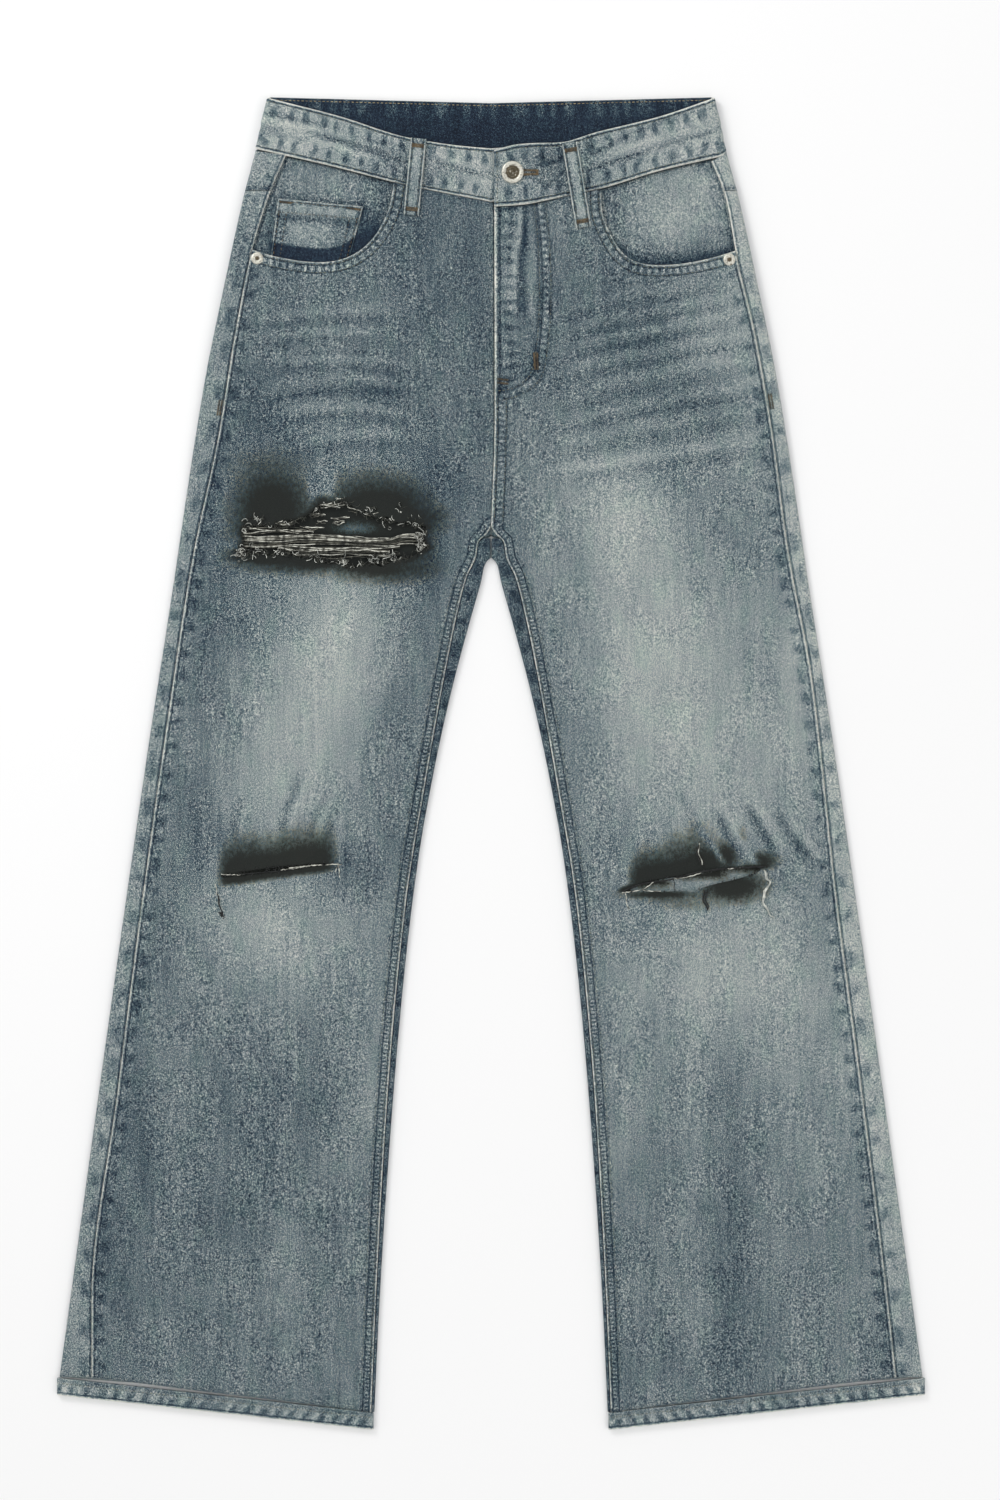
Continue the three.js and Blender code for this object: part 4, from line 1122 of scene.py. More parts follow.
def row_height(row, share, top_line, inner_x, outer_x, top_row):
    """Height of a cut across a panel, which turns to follow the hem and the line at its top."""
    rise = top_line(mix(inner_x, outer_x, share)) - top_line(outer_x)
    hem_drop = (HEM_OUTER[1] - HEM_INNER[1]) * (share - 1)
    row_rise = rise * np.clip((row - LEVEL_TOP) / (top_row - LEVEL_TOP), 0, 1)
    return row + row_rise + hem_drop * np.clip((row - LEVEL_LOW) / (HEM_ROW - LEVEL_LOW), 0, 1)


def front_grid(side):
    """A fine grid over the front panel, closer together at the seams and the tears."""
    seam = FRONT_BAND_SEAM[side]
    outer_x = 160.0 if side == "right" else 170.0
    inner_x = float(front_inner_edge(side, np.array(443.0)))
    top_row = float(seam(outer_x)) - 0.2
    rows = spaced(
        (HEM_ROW + 0.2, -126, 4.4), (-126, -70, 1.3), (-70, 146, 4.0), (146, 214, 1.5),
        (214, 380, 3.6), (380, top_row, 1.9),
    )
    shares = spaced((0, 0.06, 0.008), (0.06, 0.94, 0.0125), (0.94, 1.0, 0.008))
    row, share = np.meshgrid(rows, shares, indexing="ij")
    y = row_height(row, share, seam, inner_x, outer_x, top_row)
    inner = front_inner_edge(side, y[:, :1])
    outer = SIDE_SEAM[side](rows)[:, None]
    x = SIDES[side] * mix(inner + 0.08, outer - 0.08, share)
    return x, y


def mouth_outline(side):
    """Everything above the pocket mouth, as a closed outline."""
    mouth = sampled(POCKET_MOUTH[side])
    return mirrored(np.vstack([mouth, [(mouth[-1, 0] + 30, 560), (mouth[0, 0], 560)]]), side)


def front_panel(side):
    x, y = front_grid(side)
    grid = np.stack([x, y, front_height(side, x, y)], axis=-1)
    tears = [mouth_outline(side), *TEARS[side]]
    fields = front_fields(side, x, y)
    return cloth_piece("front_panel_" + side, grid, fields, PANEL_DENIM, side == "right", tears)


for side in SIDES:
    piece = front_panel(side)
    print(piece.name, len(piece.data.polygons), "faces")

# %% [markdown]
# Back panels. A back panel is wider than the front, so when the jeans are laid flat it wraps
# round both edges of the leg and shows as a strip beside each seam. Each cut across it is one
# path: the strip on the inseam, the fold, the underside, the outer fold and the outer strip.

# %% Back panels and yokes
def fold_path(edge_x, y, start, end, count):
    """Points round a fold, as x and height, for a column of rows."""
    radius = (front_top(y) - back_lift(y)) / 2
    angle = np.linspace(start, end, count)[None, :]
    centre_x = edge_x - np.sign(np.cos((start + end) / 2)) * radius
    x = centre_x[:, None] + radius[:, None] * np.cos(angle)
    z = (back_lift(y) + radius)[:, None] + radius[:, None] * np.sin(angle)
    return x, z


def strip_height(y, gap, run, pitch):
    """The face of a wrapped strip, a little lower at the seam and puckered beside it."""
    return front_top(y) + 0.15 - 0.35 * (1 - ramp(gap, 0, 1.5)) - 0.3 * pucker(gap, run, pitch, 7.0)


def back_rows(side):
    """The path of every row of a back panel, as x, y and z in the wearer's left half."""
    rows = spaced((HEM_ROW + 0.2, 110, 6.0), (110, 190, 2.5), (190, YOKE_ROW - 0.2, 4.5))
    y_out = rows
    edge = OUTER_EDGE(y_out)
    y_in = row_height(rows, 0.0, YOKE_SEAM, 0.2, 194.0, YOKE_ROW)
    folded = rows <= TONGUE_TOP
    inner_edge = np.where(folded, INNER_EDGE(np.minimum(y_in, 162.5)), 0.2)
    inseam = np.where(folded, INSEAM(y_in) - 0.08, 0.2)
    radius_in = (front_top(y_in) - back_lift(y_in)) / 2
    strip_share = np.linspace(1, 0, 5)[None, :]
    strip_width = np.maximum(inseam - inner_edge - radius_in, 0.3)
    strip_x = (inner_edge + radius_in)[:, None] + strip_width[:, None] * strip_share
    strip_z = np.repeat((front_top(y_in) + 0.1)[:, None], 5, axis=1)
    fold_x, fold_z = fold_path(inner_edge, y_in, math.pi / 2, 1.5 * math.pi, 8)
    inner_x = np.hstack([strip_x, fold_x[:, 1:]])
    inner_z = np.hstack([strip_z, fold_z[:, 1:]])
    flat_x = 0.2 + 0.9 * np.arange(inner_x.shape[1])[None, :] + np.zeros((len(rows), 1))
    inner_x = np.where(folded[:, None], inner_x, flat_x)
    inner_z = np.where(folded[:, None], inner_z, back_lift(y_in)[:, None])
    inner_y = np.repeat(y_in[:, None], inner_x.shape[1], axis=1)
    out_x, out_z = fold_path(edge, y_out, -math.pi / 2, math.pi / 2, 9)
    seam = SIDE_SEAM[side](y_out) + 0.08
    reach = np.linspace(0, 1, 9)[None, 1:]
    outer_strip_x = out_x[:, -1:] + (seam[:, None] - out_x[:, -1:]) * reach
    gap = outer_strip_x - seam[:, None]
    outer_strip_z = strip_height(y_out[:, None], gap, y_out[:, None] + 0 * gap, 21.0)
    outer_x = np.hstack([out_x, outer_strip_x])
    outer_z = np.hstack([out_z, outer_strip_z])
    outer_y = np.repeat(y_out[:, None], outer_x.shape[1], axis=1)
    under = np.linspace(0, 1, 46)[None, 1:-1]
    under_x = mix(inner_x[:, -1:], outer_x[:, :1], under)
    under_y = row_height(rows[:, None], under_x / edge[:, None], YOKE_SEAM, 0.2, 194.0, YOKE_ROW)
    under_z = back_lift(under_y)
    return (
        np.hstack([inner_x, under_x, outer_x]),
        np.hstack([inner_y, under_y, outer_y]),
        np.hstack([inner_z, under_z, outer_z]),
    )


def painted_shadow_in_tears(x, y):
    """Painted shadow on the inside of the back cloth where it shows through the tears."""
    # painted shadow: the inside is dark through the thigh rip and under the lips of the knee slits
    dark = 1.1 * (1 - ramp(to_line(x, y, np.vstack([THIGH_RIP, THIGH_RIP[:1]]))[0], 10, 16))
    dark = np.maximum(dark, np.where(inside(x, y, THIGH_RIP), 1.1, 0))
    dark = dark - 0.9 * spot(x, y, -108, 186, 17, 4.5)
    gap, _ = to_line(x, y, LEFT_KNEE_LIP)
    reach = 1.6 + 2.2 * spot(x, y, 186, -86, 20, 30)
    lip_shadow = 1.1 * (1 - ramp(gap, reach, reach + 1.6))
    small = 0.9 * (1 - ramp(to_line(x, y, RIGHT_KNEE_SLIT)[0], 4, 8))
    small = small * (1 - 0.5 * spot(x, y, -206, -88, 10, 5))
    return np.clip(np.maximum(np.maximum(dark, lip_shadow), small), 0, 1)


def back_fields(side, x, y, z):
    """Shade, stain and wear on a back panel or yoke, whose folded strips show from the front, with
    painted shade beside the front panel's edge and painted shadow on the inside under the tears.
    """
    on_top = z > (front_top(y) + back_lift(y)) / 2
    shade = back_wash(x, y)
    front_shade, _ = front_wash(x, y)
    strip = 0.51 if side == "right" else 0.6 - 0.05 * ramp(-y, 300, 480)
    yoke_gap = y - YOKE_ROW
    strip = strip - 0.07 * spot(x, y, -200, 410, 22, 40) + 0.4 * np.exp(-(((yoke_gap + 1.2) / 1.1) ** 2))
    strip = strip - 0.24 * hump(yoke_gap, 1.8, 2.2)
    shade = np.where(on_top, 0.35 * (front_shade - BASE_SHADE) + strip, shade)
    edge, run = to_line(x, y, LINES[side]["side"])
    hip_edge, _ = to_line(x, y, LINES[side]["hip"])
    edge = np.minimum(edge, hip_edge)
    phase = run / 30.0
    inseam_edge, inseam_run = to_line(x, y, LINES[side]["inseam"])
    closer = (inseam_edge < edge) & (y < CROTCH_TOP)
    inset = np.where(y > 399, 0.3, 1.2)
    edge, phase = np.where(closer, inseam_edge + 2.4, edge + inset), np.where(closer, inseam_run / 22, phase)
    shade = np.where(on_top & closer, 0.3, shade)
    # painted shade on the strip beside the front panel's edge
    shade = shade - np.where(on_top & ~closer & (y < 399), 0.1 * (1 - ramp(edge, 1.2, 3.0)), 0)
    centre = np.abs(x)
    low = ~on_top & (y > CROTCH_TOP) & (centre < edge)
    edge, phase = np.where(low, centre, edge), np.where(low, y / 11, phase)
    edge = np.where(~on_top & ~low, 60.0, edge)
    stain = np.where(on_top, tint(x, y) * 0.4, 0)
    return {
        "shade": shade, "tint": stain, "edge": edge, "phase": phase,
        "inner_shade": np.where(y < 0, 0.55, 0.4), "inner_tint": painted_shadow_in_tears(x, y),
    }


def back_panel(side):
    x, y, z = back_rows(side)
    x = x * SIDES[side]
    grid = np.stack([x, y, z], axis=-1)
    return cloth_piece("back_panel_" + side, grid, back_fields(side, x, y, z), PANEL_DENIM, side == "left")


def yoke_panel(side):
    """The yoke lies between the back panel and the waistband and wraps round the hip."""
    share = np.linspace(0, 1, 22)[:, None]
    low, front_high = YOKE_ROW + 0.2, float(FRONT_BAND_SEAM[side](165.0)) - 0.2
    back_high = float(BACK_BAND_SEAM(186.0)) - 0.2
    edge_y = mix(low, back_high, share)
    fold_x, fold_z = fold_path(OUTER_EDGE(edge_y[:, 0]), edge_y[:, 0], -math.pi / 2, math.pi / 2, 9)
    turned = np.linspace(0, 1, 17)[None, :]
    turn_y = mix(edge_y, mix(low, front_high, share), turned)
    seam_x = SIDE_SEAM[side](turn_y[:, -1:]) + 0.08
    strip_x = fold_x[:, -1:] + (seam_x - fold_x[:, -1:]) * np.linspace(0, 1, 9)[None, 1:]
    gap = strip_x - seam_x
    strip_z = strip_height(turn_y[:, 9:], gap, turn_y[:, 9:], 21.0)
    outer_x, outer_z = np.hstack([fold_x, strip_x]), np.hstack([fold_z, strip_z])
    under = np.linspace(0, 1, 40)[None, :-1]
    under_x = mix(0.2, outer_x[:, :1], under)
    under_low = np.minimum(YOKE_SEAM(under_x) + 0.3, low)
    under_y = mix(under_low, BACK_BAND_SEAM(under_x) - 0.2, share)
    under_z = np.full(under_x.shape, BACK_LIFT)
    x = np.hstack([under_x, outer_x]) * SIDES[side]
    y = np.hstack([under_y, turn_y])
    z = np.hstack([under_z, outer_z])
    grid = np.stack([x, y, z], axis=-1)
    fields = back_fields(side, x, y, z)
    return cloth_piece("yoke_" + side + "_cloth", grid, fields, PANEL_DENIM, side == "left")


for side in SIDES:
    back_panel(side)
    yoke_panel(side)
print("back pieces made")

# %% [markdown]
# The waistband, the belt loops and the hems are folded cloth: two plies with turned edges. Each
# is a loft, which is one rounded cut carried along the piece. Which way round a loft comes out
# is easy to get wrong, so its signed volume is measured and the faces are turned if it is
# negative.

# %% Lofts
def facing_out(points, faces):
    """The faces of a closed mesh, turned round if the volume inside them is negative."""
    volume = 0.0
    for face in faces:
        a = points[face[0]]
        for i in range(1, len(face) - 1):
            volume += np.dot(a, np.cross(points[face[i]], points[face[i + 1]]))
    return [face[::-1] for face in faces] if volume < 0 else faces


def loft(name, sections, fields, material, ring=False):
    """A closed piece through a row of closed cuts; ring joins the last cut to the first."""
    middle = sections.mean(axis=1)
    middle = np.vstack([middle, middle[:1]]) if ring else middle
    run = float(np.linalg.norm(np.diff(middle, axis=0), axis=-1).sum())
    around_cut = np.linalg.norm(sections - np.roll(sections, 1, axis=1), axis=-1).sum(axis=1)
    half = float(np.median(around_cut)) / 2
    cut_sizes[name] = (run, half, run * half)
    fields = {"ladder": 0 * fields["shade"], **fields}
    count, around = sections.shape[:2]
    points = sections.reshape(-1, 3)
    faces = grid_faces(count, around, True, ring).tolist()
    if not ring:
        faces.append(list(range(around))[::-1])
        faces.append([(count - 1) * around + i for i in range(around)])
    return mesh_piece(name, points, facing_out(points, faces), fields, material)


def rounded_cut(face_steps, back_steps, corner):
    """A thin rounded cut as (u, w): u runs along it from 0 to 1 and w through it from 0 to 1."""
    front = [(u, 0.0) for u in np.linspace(corner, 1 - corner, face_steps)]
    top = [(1 - 0.4 * corner, 0.12), (1.0, 0.5), (1 - 0.4 * corner, 0.88)]
    back = [(u, 1.0) for u in np.linspace(1 - corner, corner, back_steps)]
    bottom = [(0.4 * corner, 0.88), (0.0, 0.5), (0.4 * corner, 0.12)]
    return np.array(front + top + back + bottom)


# %% [markdown]
# The waistband is one strip. It starts at its hidden end under the button, goes round the right
# side, across the back and round the left side, and laps over its own start. Years of wear have
# left a dimple at each stitch along both edges and one long crease along its middle. Its inside
# was never washed by hand, so it is still dark.

# %% Waistband
BAND_FOLD_RADIUS = (BAND_TOP - BACK_LIFT) / 2
BAND_CORNER_TOP, BAND_CORNER_LOW = 176.5, 186.0
FLAT_END = BAND_CORNER_LOW - BAND_FOLD_RADIUS
UNDERLAP_END = 38.0
OVERLAP_EDGE = 2.5


def band_lift(side, x):
    """The buttoned end rides over the other end and comes down beyond it."""
    return OVERLAP_RISE * (1 - np.clip((x - 40) / 14, 0, 1)) if side == "left" else 0.0


def band_station(side, x, on_back):
    """The four corners of a cut: outer low, outer high, inner low, inner high."""
    high_x = x * (BAND_CORNER_TOP - BAND_FOLD_RADIUS) / FLAT_END
    edge = BACK_BAND_EDGE if on_back else FRONT_BAND_EDGE[side]
    seam = BACK_BAND_SEAM if on_back else FRONT_BAND_SEAM[side]
    low = (x, float(seam(abs(x))))
    high = (high_x, float(edge(abs(high_x))))
    if on_back:
        outer_z, inner_z = BACK_LIFT, BACK_LIFT + BAND_THICKNESS
    else:
        outer_z = BAND_TOP + band_lift(side, x)
        inner_z = outer_z - BAND_THICKNESS
    return [(*low, outer_z), (*high, outer_z), (*low, inner_z), (*high, inner_z)]


def band_fold(side):
    """Cuts round the side fold, from the front to the back."""
    cuts = []
    for share in np.linspace(0, 1, 12)[1:-1]:
        angle = math.pi * (0.5 - share)
        high_y = mix(float(FRONT_BAND_EDGE[side](176.5)), float(BACK_BAND_EDGE(176.5)), share)
        low_y = mix(float(FRONT_BAND_SEAM[side](186)), float(BACK_BAND_SEAM(186)), share)
        corners = []
        for radius in (BAND_FOLD_RADIUS, BAND_FOLD_RADIUS - BAND_THICKNESS):
            reach = radius * math.cos(angle) - BAND_FOLD_RADIUS
            z = BACK_LIFT + BAND_FOLD_RADIUS + radius * math.sin(angle)
            corners.append((SIDES[side] * (BAND_CORNER_LOW + reach), low_y, z))
            corners.append((SIDES[side] * (BAND_CORNER_TOP + reach), high_y, z))
        cuts.append(corners)
    return cuts


def band_relief(run, u):
    """Height of the band's face above its plain form: dimples and the long crease."""
    from_low, from_high = 41 * u, 41 * (1 - u)
    middle = 0.46 + 0.05 * np.sin(run / 60) + 0.03 * np.sin(run / 23)
    crease = hump(u, middle, 0.055)
    z = 0.35 * np.sin(run / 19 + 3 * u) * np.sin(math.pi * u)
    z = z - 0.5 * crease - 0.45 * pucker(from_low, run, 13.0, 8.0)
    return z - 0.4 * pucker(from_high, run + 5, 13.4, 8.5) + 0.3


def waistband():
    front_right = [band_station("right", x, False) for x in spaced((UNDERLAP_END, -FLAT_END, 1.9))]
    across_back = [band_station("right", x, True) for x in spaced((-FLAT_END, FLAT_END, 3.0))]
    front_left = [
        band_station("left", x, False)
        for x in spaced((FLAT_END, 56, 1.9), (56, 12, 1.0), (12, OVERLAP_EDGE, 1.2))
    ]
    folds = band_fold("right"), band_fold("left")[::-1]
    corners = np.array([*front_right, *folds[0], *across_back, *folds[1], *front_left])
    cut = rounded_cut(25, 9, 0.03)
    u, w = cut[:, 0][None, :, None], cut[:, 1][None, :, None]
    outer = mix(corners[:, 0:1], corners[:, 1:2], u)
    inner = mix(corners[:, 2:3], corners[:, 3:4], u)
    middle = corners.mean(axis=1)
    run = np.concatenate([[0], np.cumsum(np.linalg.norm(np.diff(middle, axis=0), axis=1))])[:, None]
    sections = mix(outer, inner, w)
    away = (outer - inner) / np.linalg.norm(outer - inner, axis=-1, keepdims=True)
    faces_front = (w[..., 0] < 0.3) & (away[..., 2] > -0.5)
    lift = band_relief(run, cut[None, :, 0]) * faces_front * (1 - ramp(w[..., 0], 0, 0.3))
    x, y = sections[..., 0], sections[..., 1]
    slit = (np.abs(y - BUTTON_PLACE[1]) < 0.8) & (x > 18) & (x < 37) & (sections[..., 2] > 8.6)
    lift = lift - 1.0 * slit * faces_front
    sections = sections + away * lift[..., None]
    return sections, cut, run


BUTTON_PLACE = (17.0, 466.0)
BUTTONHOLE_END = 36.0


BAND_CREASE_SHADING = [
    # from (x, y) to (x, y), width, how much paler: painted shade in a crease where it is negative,
    # a painted highlight on a crest where it is positive
    (-188, 515, -128, 503, 1.8, -0.16), (-186, 510, -130, 498, 2.0, 0.08),
    (-150, 500, -72, 480, 2.2, -0.16), (-144, 492, -84, 476, 2.0, 0.07),
    (-190, 500, -140, 492, 2.0, -0.08), (-110, 495, -72, 487, 1.6, -0.12),
    (-52, 478, -2, 462, 1.8, -0.16), (-50, 470, -12, 459, 2.0, -0.08), (-54, 484, -20, 474, 1.4, 0.1),
    (34, 470, 60, 478, 2.4, -0.18), (40, 452, 60, 470, 1.6, -0.12), (32, 462, 58, 452, 1.6, -0.12),
    (76, 478, 112, 498, 1.8, -0.16), (80, 470, 124, 484, 1.8, -0.14), (104, 494, 150, 512, 1.8, -0.12),
    (96, 482, 140, 496, 2.0, 0.08), (128, 486, 182, 500, 1.8, -0.12), (140, 508, 182, 520, 1.6, -0.1),
]


def waistband_piece():
    sections, cut, run = waistband()
    x, y = sections[..., 0], sections[..., 1]
    u, w = np.broadcast_to(cut[:, 0], x.shape), np.broadcast_to(cut[:, 1], x.shape)
    within = w > 0.7
    edge = np.where(within, 60, 41 * np.minimum(u, 1 - u))
    middle = 0.46 + 0.05 * np.sin(run / 60) + 0.03 * np.sin(run / 23)
    crease = hump(u, middle, 0.06) * (0.6 + 0.4 * np.sin(run / 17))
    # painted shade in the band's long crease
    shade = 0.58 - 0.15 * crease + 0.03 * np.sin(run / 29) - 0.06 * ramp(x, -10, 10) + 0.07 * ramp(x, 70, 100)
    shade = shade + spots(x, y, (46, 473, 16, 13, -0.14), (-42, 466, 14, 12, -0.1))
    shade = shade + spots(x, y, (-76, 474, 12, 12, -0.12), (-125, 490, 40, 20, 0.05))
    # painted shadow on the band beside each belt loop
    for loop_x in (-60, 68):
        shade = shade - 0.12 * hump(np.abs(x - loop_x), 8, 4) * (np.abs(x - loop_x) > 6)
    for x0, y0, x1, y1, wide, amount in BAND_CREASE_SHADING:
        shade = shade + amount * streak(x, y, x0, y0, x1, y1, wide)
    streaks = 0.5 + 0.5 * np.sin(run / 2.4 + 2 * np.sin(run / 9))
    inner_shade = 0.11 + 0.12 * streaks * ramp(u, 0.55, 0.8) + 0.03 * np.sin(run / 33) * (1 - u)
    shade = np.where(within, inner_shade, shade)
    fields = plain_fields(shade, edge, run / 13.2 + 0.3 * (u > 0.5))
    return loft("waistband_cloth", sections, fields, BAND_DENIM)


band = waistband_piece()
print(band.name, len(band.data.polygons), "faces")

# %% [markdown]
# A belt loop is a narrow strip with both edges turned under and stitched. On the front its ends
# are tacked to the band's top edge and to the panel just below the band, and between them it
# stands a little away from the cloth. The loops on the back lie flat under the band.

# %% Belt loops
LOOP_WIDTH = 12.0
LOOP_THICKNESS = 1.2
FRONT_LOOPS = {"right": ((-57, 493), (-63, 432.5)), "left": ((62, 489.5), (73, 423))}
SIDE_LOOP_X = 122.0


def loop_frame(top, bottom):
    """The ends of a strip and the directions along and across it."""
    top, bottom = np.array(top, float), np.array(bottom, float)
    along = (bottom - top) / np.linalg.norm(bottom - top)
    return top, bottom, along, np.array([-along[1], along[0]])


def belt_loop(name, top, bottom, heights, facing_down=False):
    """A strip from top to bottom, with its upper face at the heights given along it."""
    top, bottom, _, across = loop_frame(top, bottom)
    share = np.linspace(0, 1, 44)[:, None]
    cut = rounded_cut(17, 7, 0.06)
    u, w = cut[None, :, 0], cut[None, :, 1]
    aside = LOOP_WIDTH * (u - 0.5)
    length = np.linalg.norm(bottom - top)
    place = top + (bottom - top) * share[..., None] + across * aside[..., None]
    face = smooth_through([h[0] for h in heights], [h[1] for h in heights])(share)
    rims = 0.28 * ramp(np.abs(aside), 3.6, 4.6) - 0.35 * hump(np.abs(aside), 4.1, 0.5)
    dimples = -0.2 * pucker(6 - np.abs(aside), length * share, 9.0, 2.4)
    tacks = 0.25 * (hump(length * share, 5, 3) + np.exp(-(((length * (1 - share) - 4) / 3) ** 2)))
    relief = (rims + dimples + tacks) * (w < 0.3)
    if facing_down:
        z = face - LOOP_THICKNESS * (1 - w) + 0.5 * np.clip(relief, 0, 1)
    else:
        z = face - LOOP_THICKNESS * w + relief
    sections = np.concatenate([place, np.broadcast_to(z[..., None], (*place.shape[:2], 1))], axis=-1)
    edge = np.broadcast_to(LOOP_WIDTH / 2 - np.abs(aside), place.shape[:2])
    run = np.broadcast_to(length * share, place.shape[:2])
    shade = 0.56 + 0.03 * np.sin(run / 8) - 0.1 * hump(edge, 2, 0.8)
    shade = shade - 0.14 * (hump(run, 4, 3) + np.exp(-(((length - run - 4) / 3) ** 2)))
    fields = plain_fields(shade, edge, run / 9)
    return loft(name, sections, fields, LOOP_DENIM)


LOOP_RISE = [(0, 8.5), (0.08, 8.7), (0.3, 9.4), (0.6, 9.5), (0.86, 8.8), (1, 8.3)]
for side in SIDES:
    belt_loop("front_loop_" + side, *FRONT_LOOPS[side], LOOP_RISE)
    loop_x = SIDES[side] * SIDE_LOOP_X
    loop_ends = (loop_x, float(BACK_BAND_EDGE(SIDE_LOOP_X))), (loop_x, float(BACK_BAND_SEAM(SIDE_LOOP_X)) - 8)
    belt_loop("side_loop_" + side, *loop_ends, [(0, 1.2), (1, 1.2)], True)
belt_loop("back_loop", (0, 521.8), (0, 473.8), [(0, 1.2), (1, 1.2)], True)
print("belt loops:", sum("loop" in name for name in made_pieces))

# %% [markdown]
# Inside each front pocket a facing of denim is sewn to the pocket bag, and the wearer's right one
# carries the coin pocket. The part that the panel used to cover has kept its navy, so it shows as
# a dark crescent above the mouth.

# %% Pocket facings and coin pocket
FACING_LOW = 378.0
COIN_POCKET = [(-168, 446), (-101, 439.5), (-114.5, 389), (-174.5, 394)]


def kept_navy(x, y):
    """Where the facing was covered, from 0 to 1."""
    gap_right, _ = to_line(x, y, LINES["right"]["mouth"])
    gap_left, _ = to_line(x, y, LINES["left"]["mouth"])
    crisp = (1 - ramp(gap_right, 10, 12.5)) * (1 - ramp(y, 416, 430)) * ramp(x, -177, -171)
    soft = (1 - ramp(gap_left, 1, 12)) * (1 - ramp(y, 398, 425))
    return np.where(x < 0, crisp, 0.75 * soft)


def facing(side):
    share = np.linspace(0, 1, 44)[:, None]
    across = np.linspace(0, 1, 60)[None, :]
    corner = float(FRONT_BAND_SEAM[side](165.0))
    outer = SIDE_SEAM[side](mix(FACING_LOW, corner, share)) + 3
    x = mix(POCKET_MOUTH[side][0][0] - 15.0, outer, across)
    y = mix(FACING_LOW, FRONT_BAND_SEAM[side](x) - 0.3, share)
    z = FACING_TOP + 0.14 * np.sin(x / 13 + y / 29) + 0.1 * np.sin(y / 9)
    x = SIDES[side] * x
    pale = 0.48 if side == "right" else 0.54
    mouth_gap, _ = to_line(x, y, LINES[side]["mouth"])
    shade = pale + 0.03 * np.sin(x / 21) * np.sin(y / 17) - 0.13 * hump(mouth_gap, 4, 15)
    shade = shade + 0.05 * spot(x, y, 140, 428, 26, 16)
    seam_gap, _ = to_line(x, y, LINES[side]["hip"])
    # painted shade beside the side seam
    shade = shade - 0.06 * hump(seam_gap, 0, 6)
    band_gap, _ = to_line(x, y, LINES[side]["band"])
    # painted shade under the waistband's edge
    shade = shade - 0.12 * hump(band_gap, 0, 5)
    if side == "right":
        hole = inside(x, y, np.array(COIN_POCKET, float))
        coin_gap, _ = to_line(x, y, np.array([*COIN_POCKET, COIN_POCKET[0]], float))
        # painted shade round the coin pocket's edges
        shade = shade - np.where(hole, 0, 0.19 * hump(coin_gap, 0, 4.5))
        shade = shade - 0.12 * spot(x, y, -94, 425, 9, 18)
    navy = kept_navy(x, y)
    shade = mix(shade, 0.12, navy)
    edge = seam_gap + 0.5
    fields = plain_fields(shade, edge, y / 17)
    grid = np.stack([x, y, z], axis=-1)
    return cloth_piece("pocket_facing_" + side + "_cloth", grid, fields, FACING_DENIM, side == "right")


def four_corner_grid(corners, rows, columns):
    """Points spread between four corners: top left, top right, low right, low left."""
    a, b, c, d = np.array(corners, float)
    v = np.linspace(0, 1, rows)[:, None, None]
    u = np.linspace(0, 1, columns)[None, :, None]
    return mix(mix(d, c, u), mix(a, b, u), v)


def coin_pocket():
    flat = four_corner_grid(COIN_POCKET, 48, 58)
    x, y = flat[..., 0], flat[..., 1]
    outline = np.array([*COIN_POCKET, COIN_POCKET[0]], float)
    gap, run = to_line(x, y, outline)
    top_gap, top_run = to_line(x, y, outline[:2])
    z = COIN_TOP + 0.5 * (1 - ramp(top_gap, 10.5, 12.5)) - 0.5 * (1 - ramp(gap, 0, 1.5))
    z = z - 0.3 * pucker(top_gap, top_run, 7.5, 5.0) + 0.12 * np.sin(x / 9)
    shade = 0.43 + 0.1 * hump(top_gap, 5, 4) - 0.17 * hump(top_gap, 14, 3)
    shade = shade + 0.07 * np.sin(top_run / 2.2) * hump(top_gap, 7, 4)
    shade = shade - 0.12 * hump(gap, 7.5, 1.6) * (top_gap > 14)
    shade = shade + 0.12 * spot(x, y, -142, 420, 20, 12) - 0.08 * spot(x, y, -122, 416, 8, 14)
    shade = mix(shade, 0.13, kept_navy(x, y))
    fields = plain_fields(shade, gap, run / 7)
    return cloth_piece("coin_pocket_cloth", np.stack([x, y, z], axis=-1), fields, LOOP_DENIM, False)


for side in SIDES:
    facing(side)
coin_pocket()

# %% [markdown]
# Two patch pockets sit on the seat. They are under the jeans as these lie, so they are finished
# plainly: a five-sided patch, a turned top and two rows of stitches.

# %% Back pockets
POCKET_TOP = [(21, 392), (169, 415)]
POCKET_LOW = [(27, 262), (97, 246), (171, 275)]


def back_pocket(side):
    u = np.linspace(0, 1, 44)
    high = np.stack([mix(POCKET_TOP[0][i], POCKET_TOP[1][i], u) for i in (0, 1)], axis=1)
    low_x = mix(POCKET_LOW[0][0], POCKET_LOW[2][0], u)
    low = np.stack([low_x, np.interp(low_x, *zip(*POCKET_LOW, strict=True))], axis=1)
    v = np.linspace(0, 1, 40)[:, None, None]
    flat = mix(low[None], high[None], v)
    x, y = flat[..., 0], flat[..., 1]
    outline = np.array([*POCKET_TOP, *POCKET_LOW[::-1], POCKET_TOP[0]], float)
    gap, run = to_line(x, y, outline)
    z = 0.35 * (1 - ramp(gap, 0, 1.5)) + 0.25 * pucker(gap, run, 9.0, 6.0)
    shade = 0.5 - 0.04 * hump(gap, 7, 3) + 0.03 * np.sin(y / 15)
    grid = np.stack([SIDES[side] * x, y, z], axis=-1)
    fields = plain_fields(shade, gap, run / 11)
    name = "back_pocket_" + side + "_cloth"
    return cloth_piece(name, grid, fields, PANEL_DENIM, side == "left", thickness=0.9)


for side in SIDES:
    back_pocket(side)

# %% [markdown]
# Each hem is the leg's end turned up twice and chain stitched. The feed of the machine drags the
# upper ply, which leaves the slanting ripples called roping, and their crests wear pale.

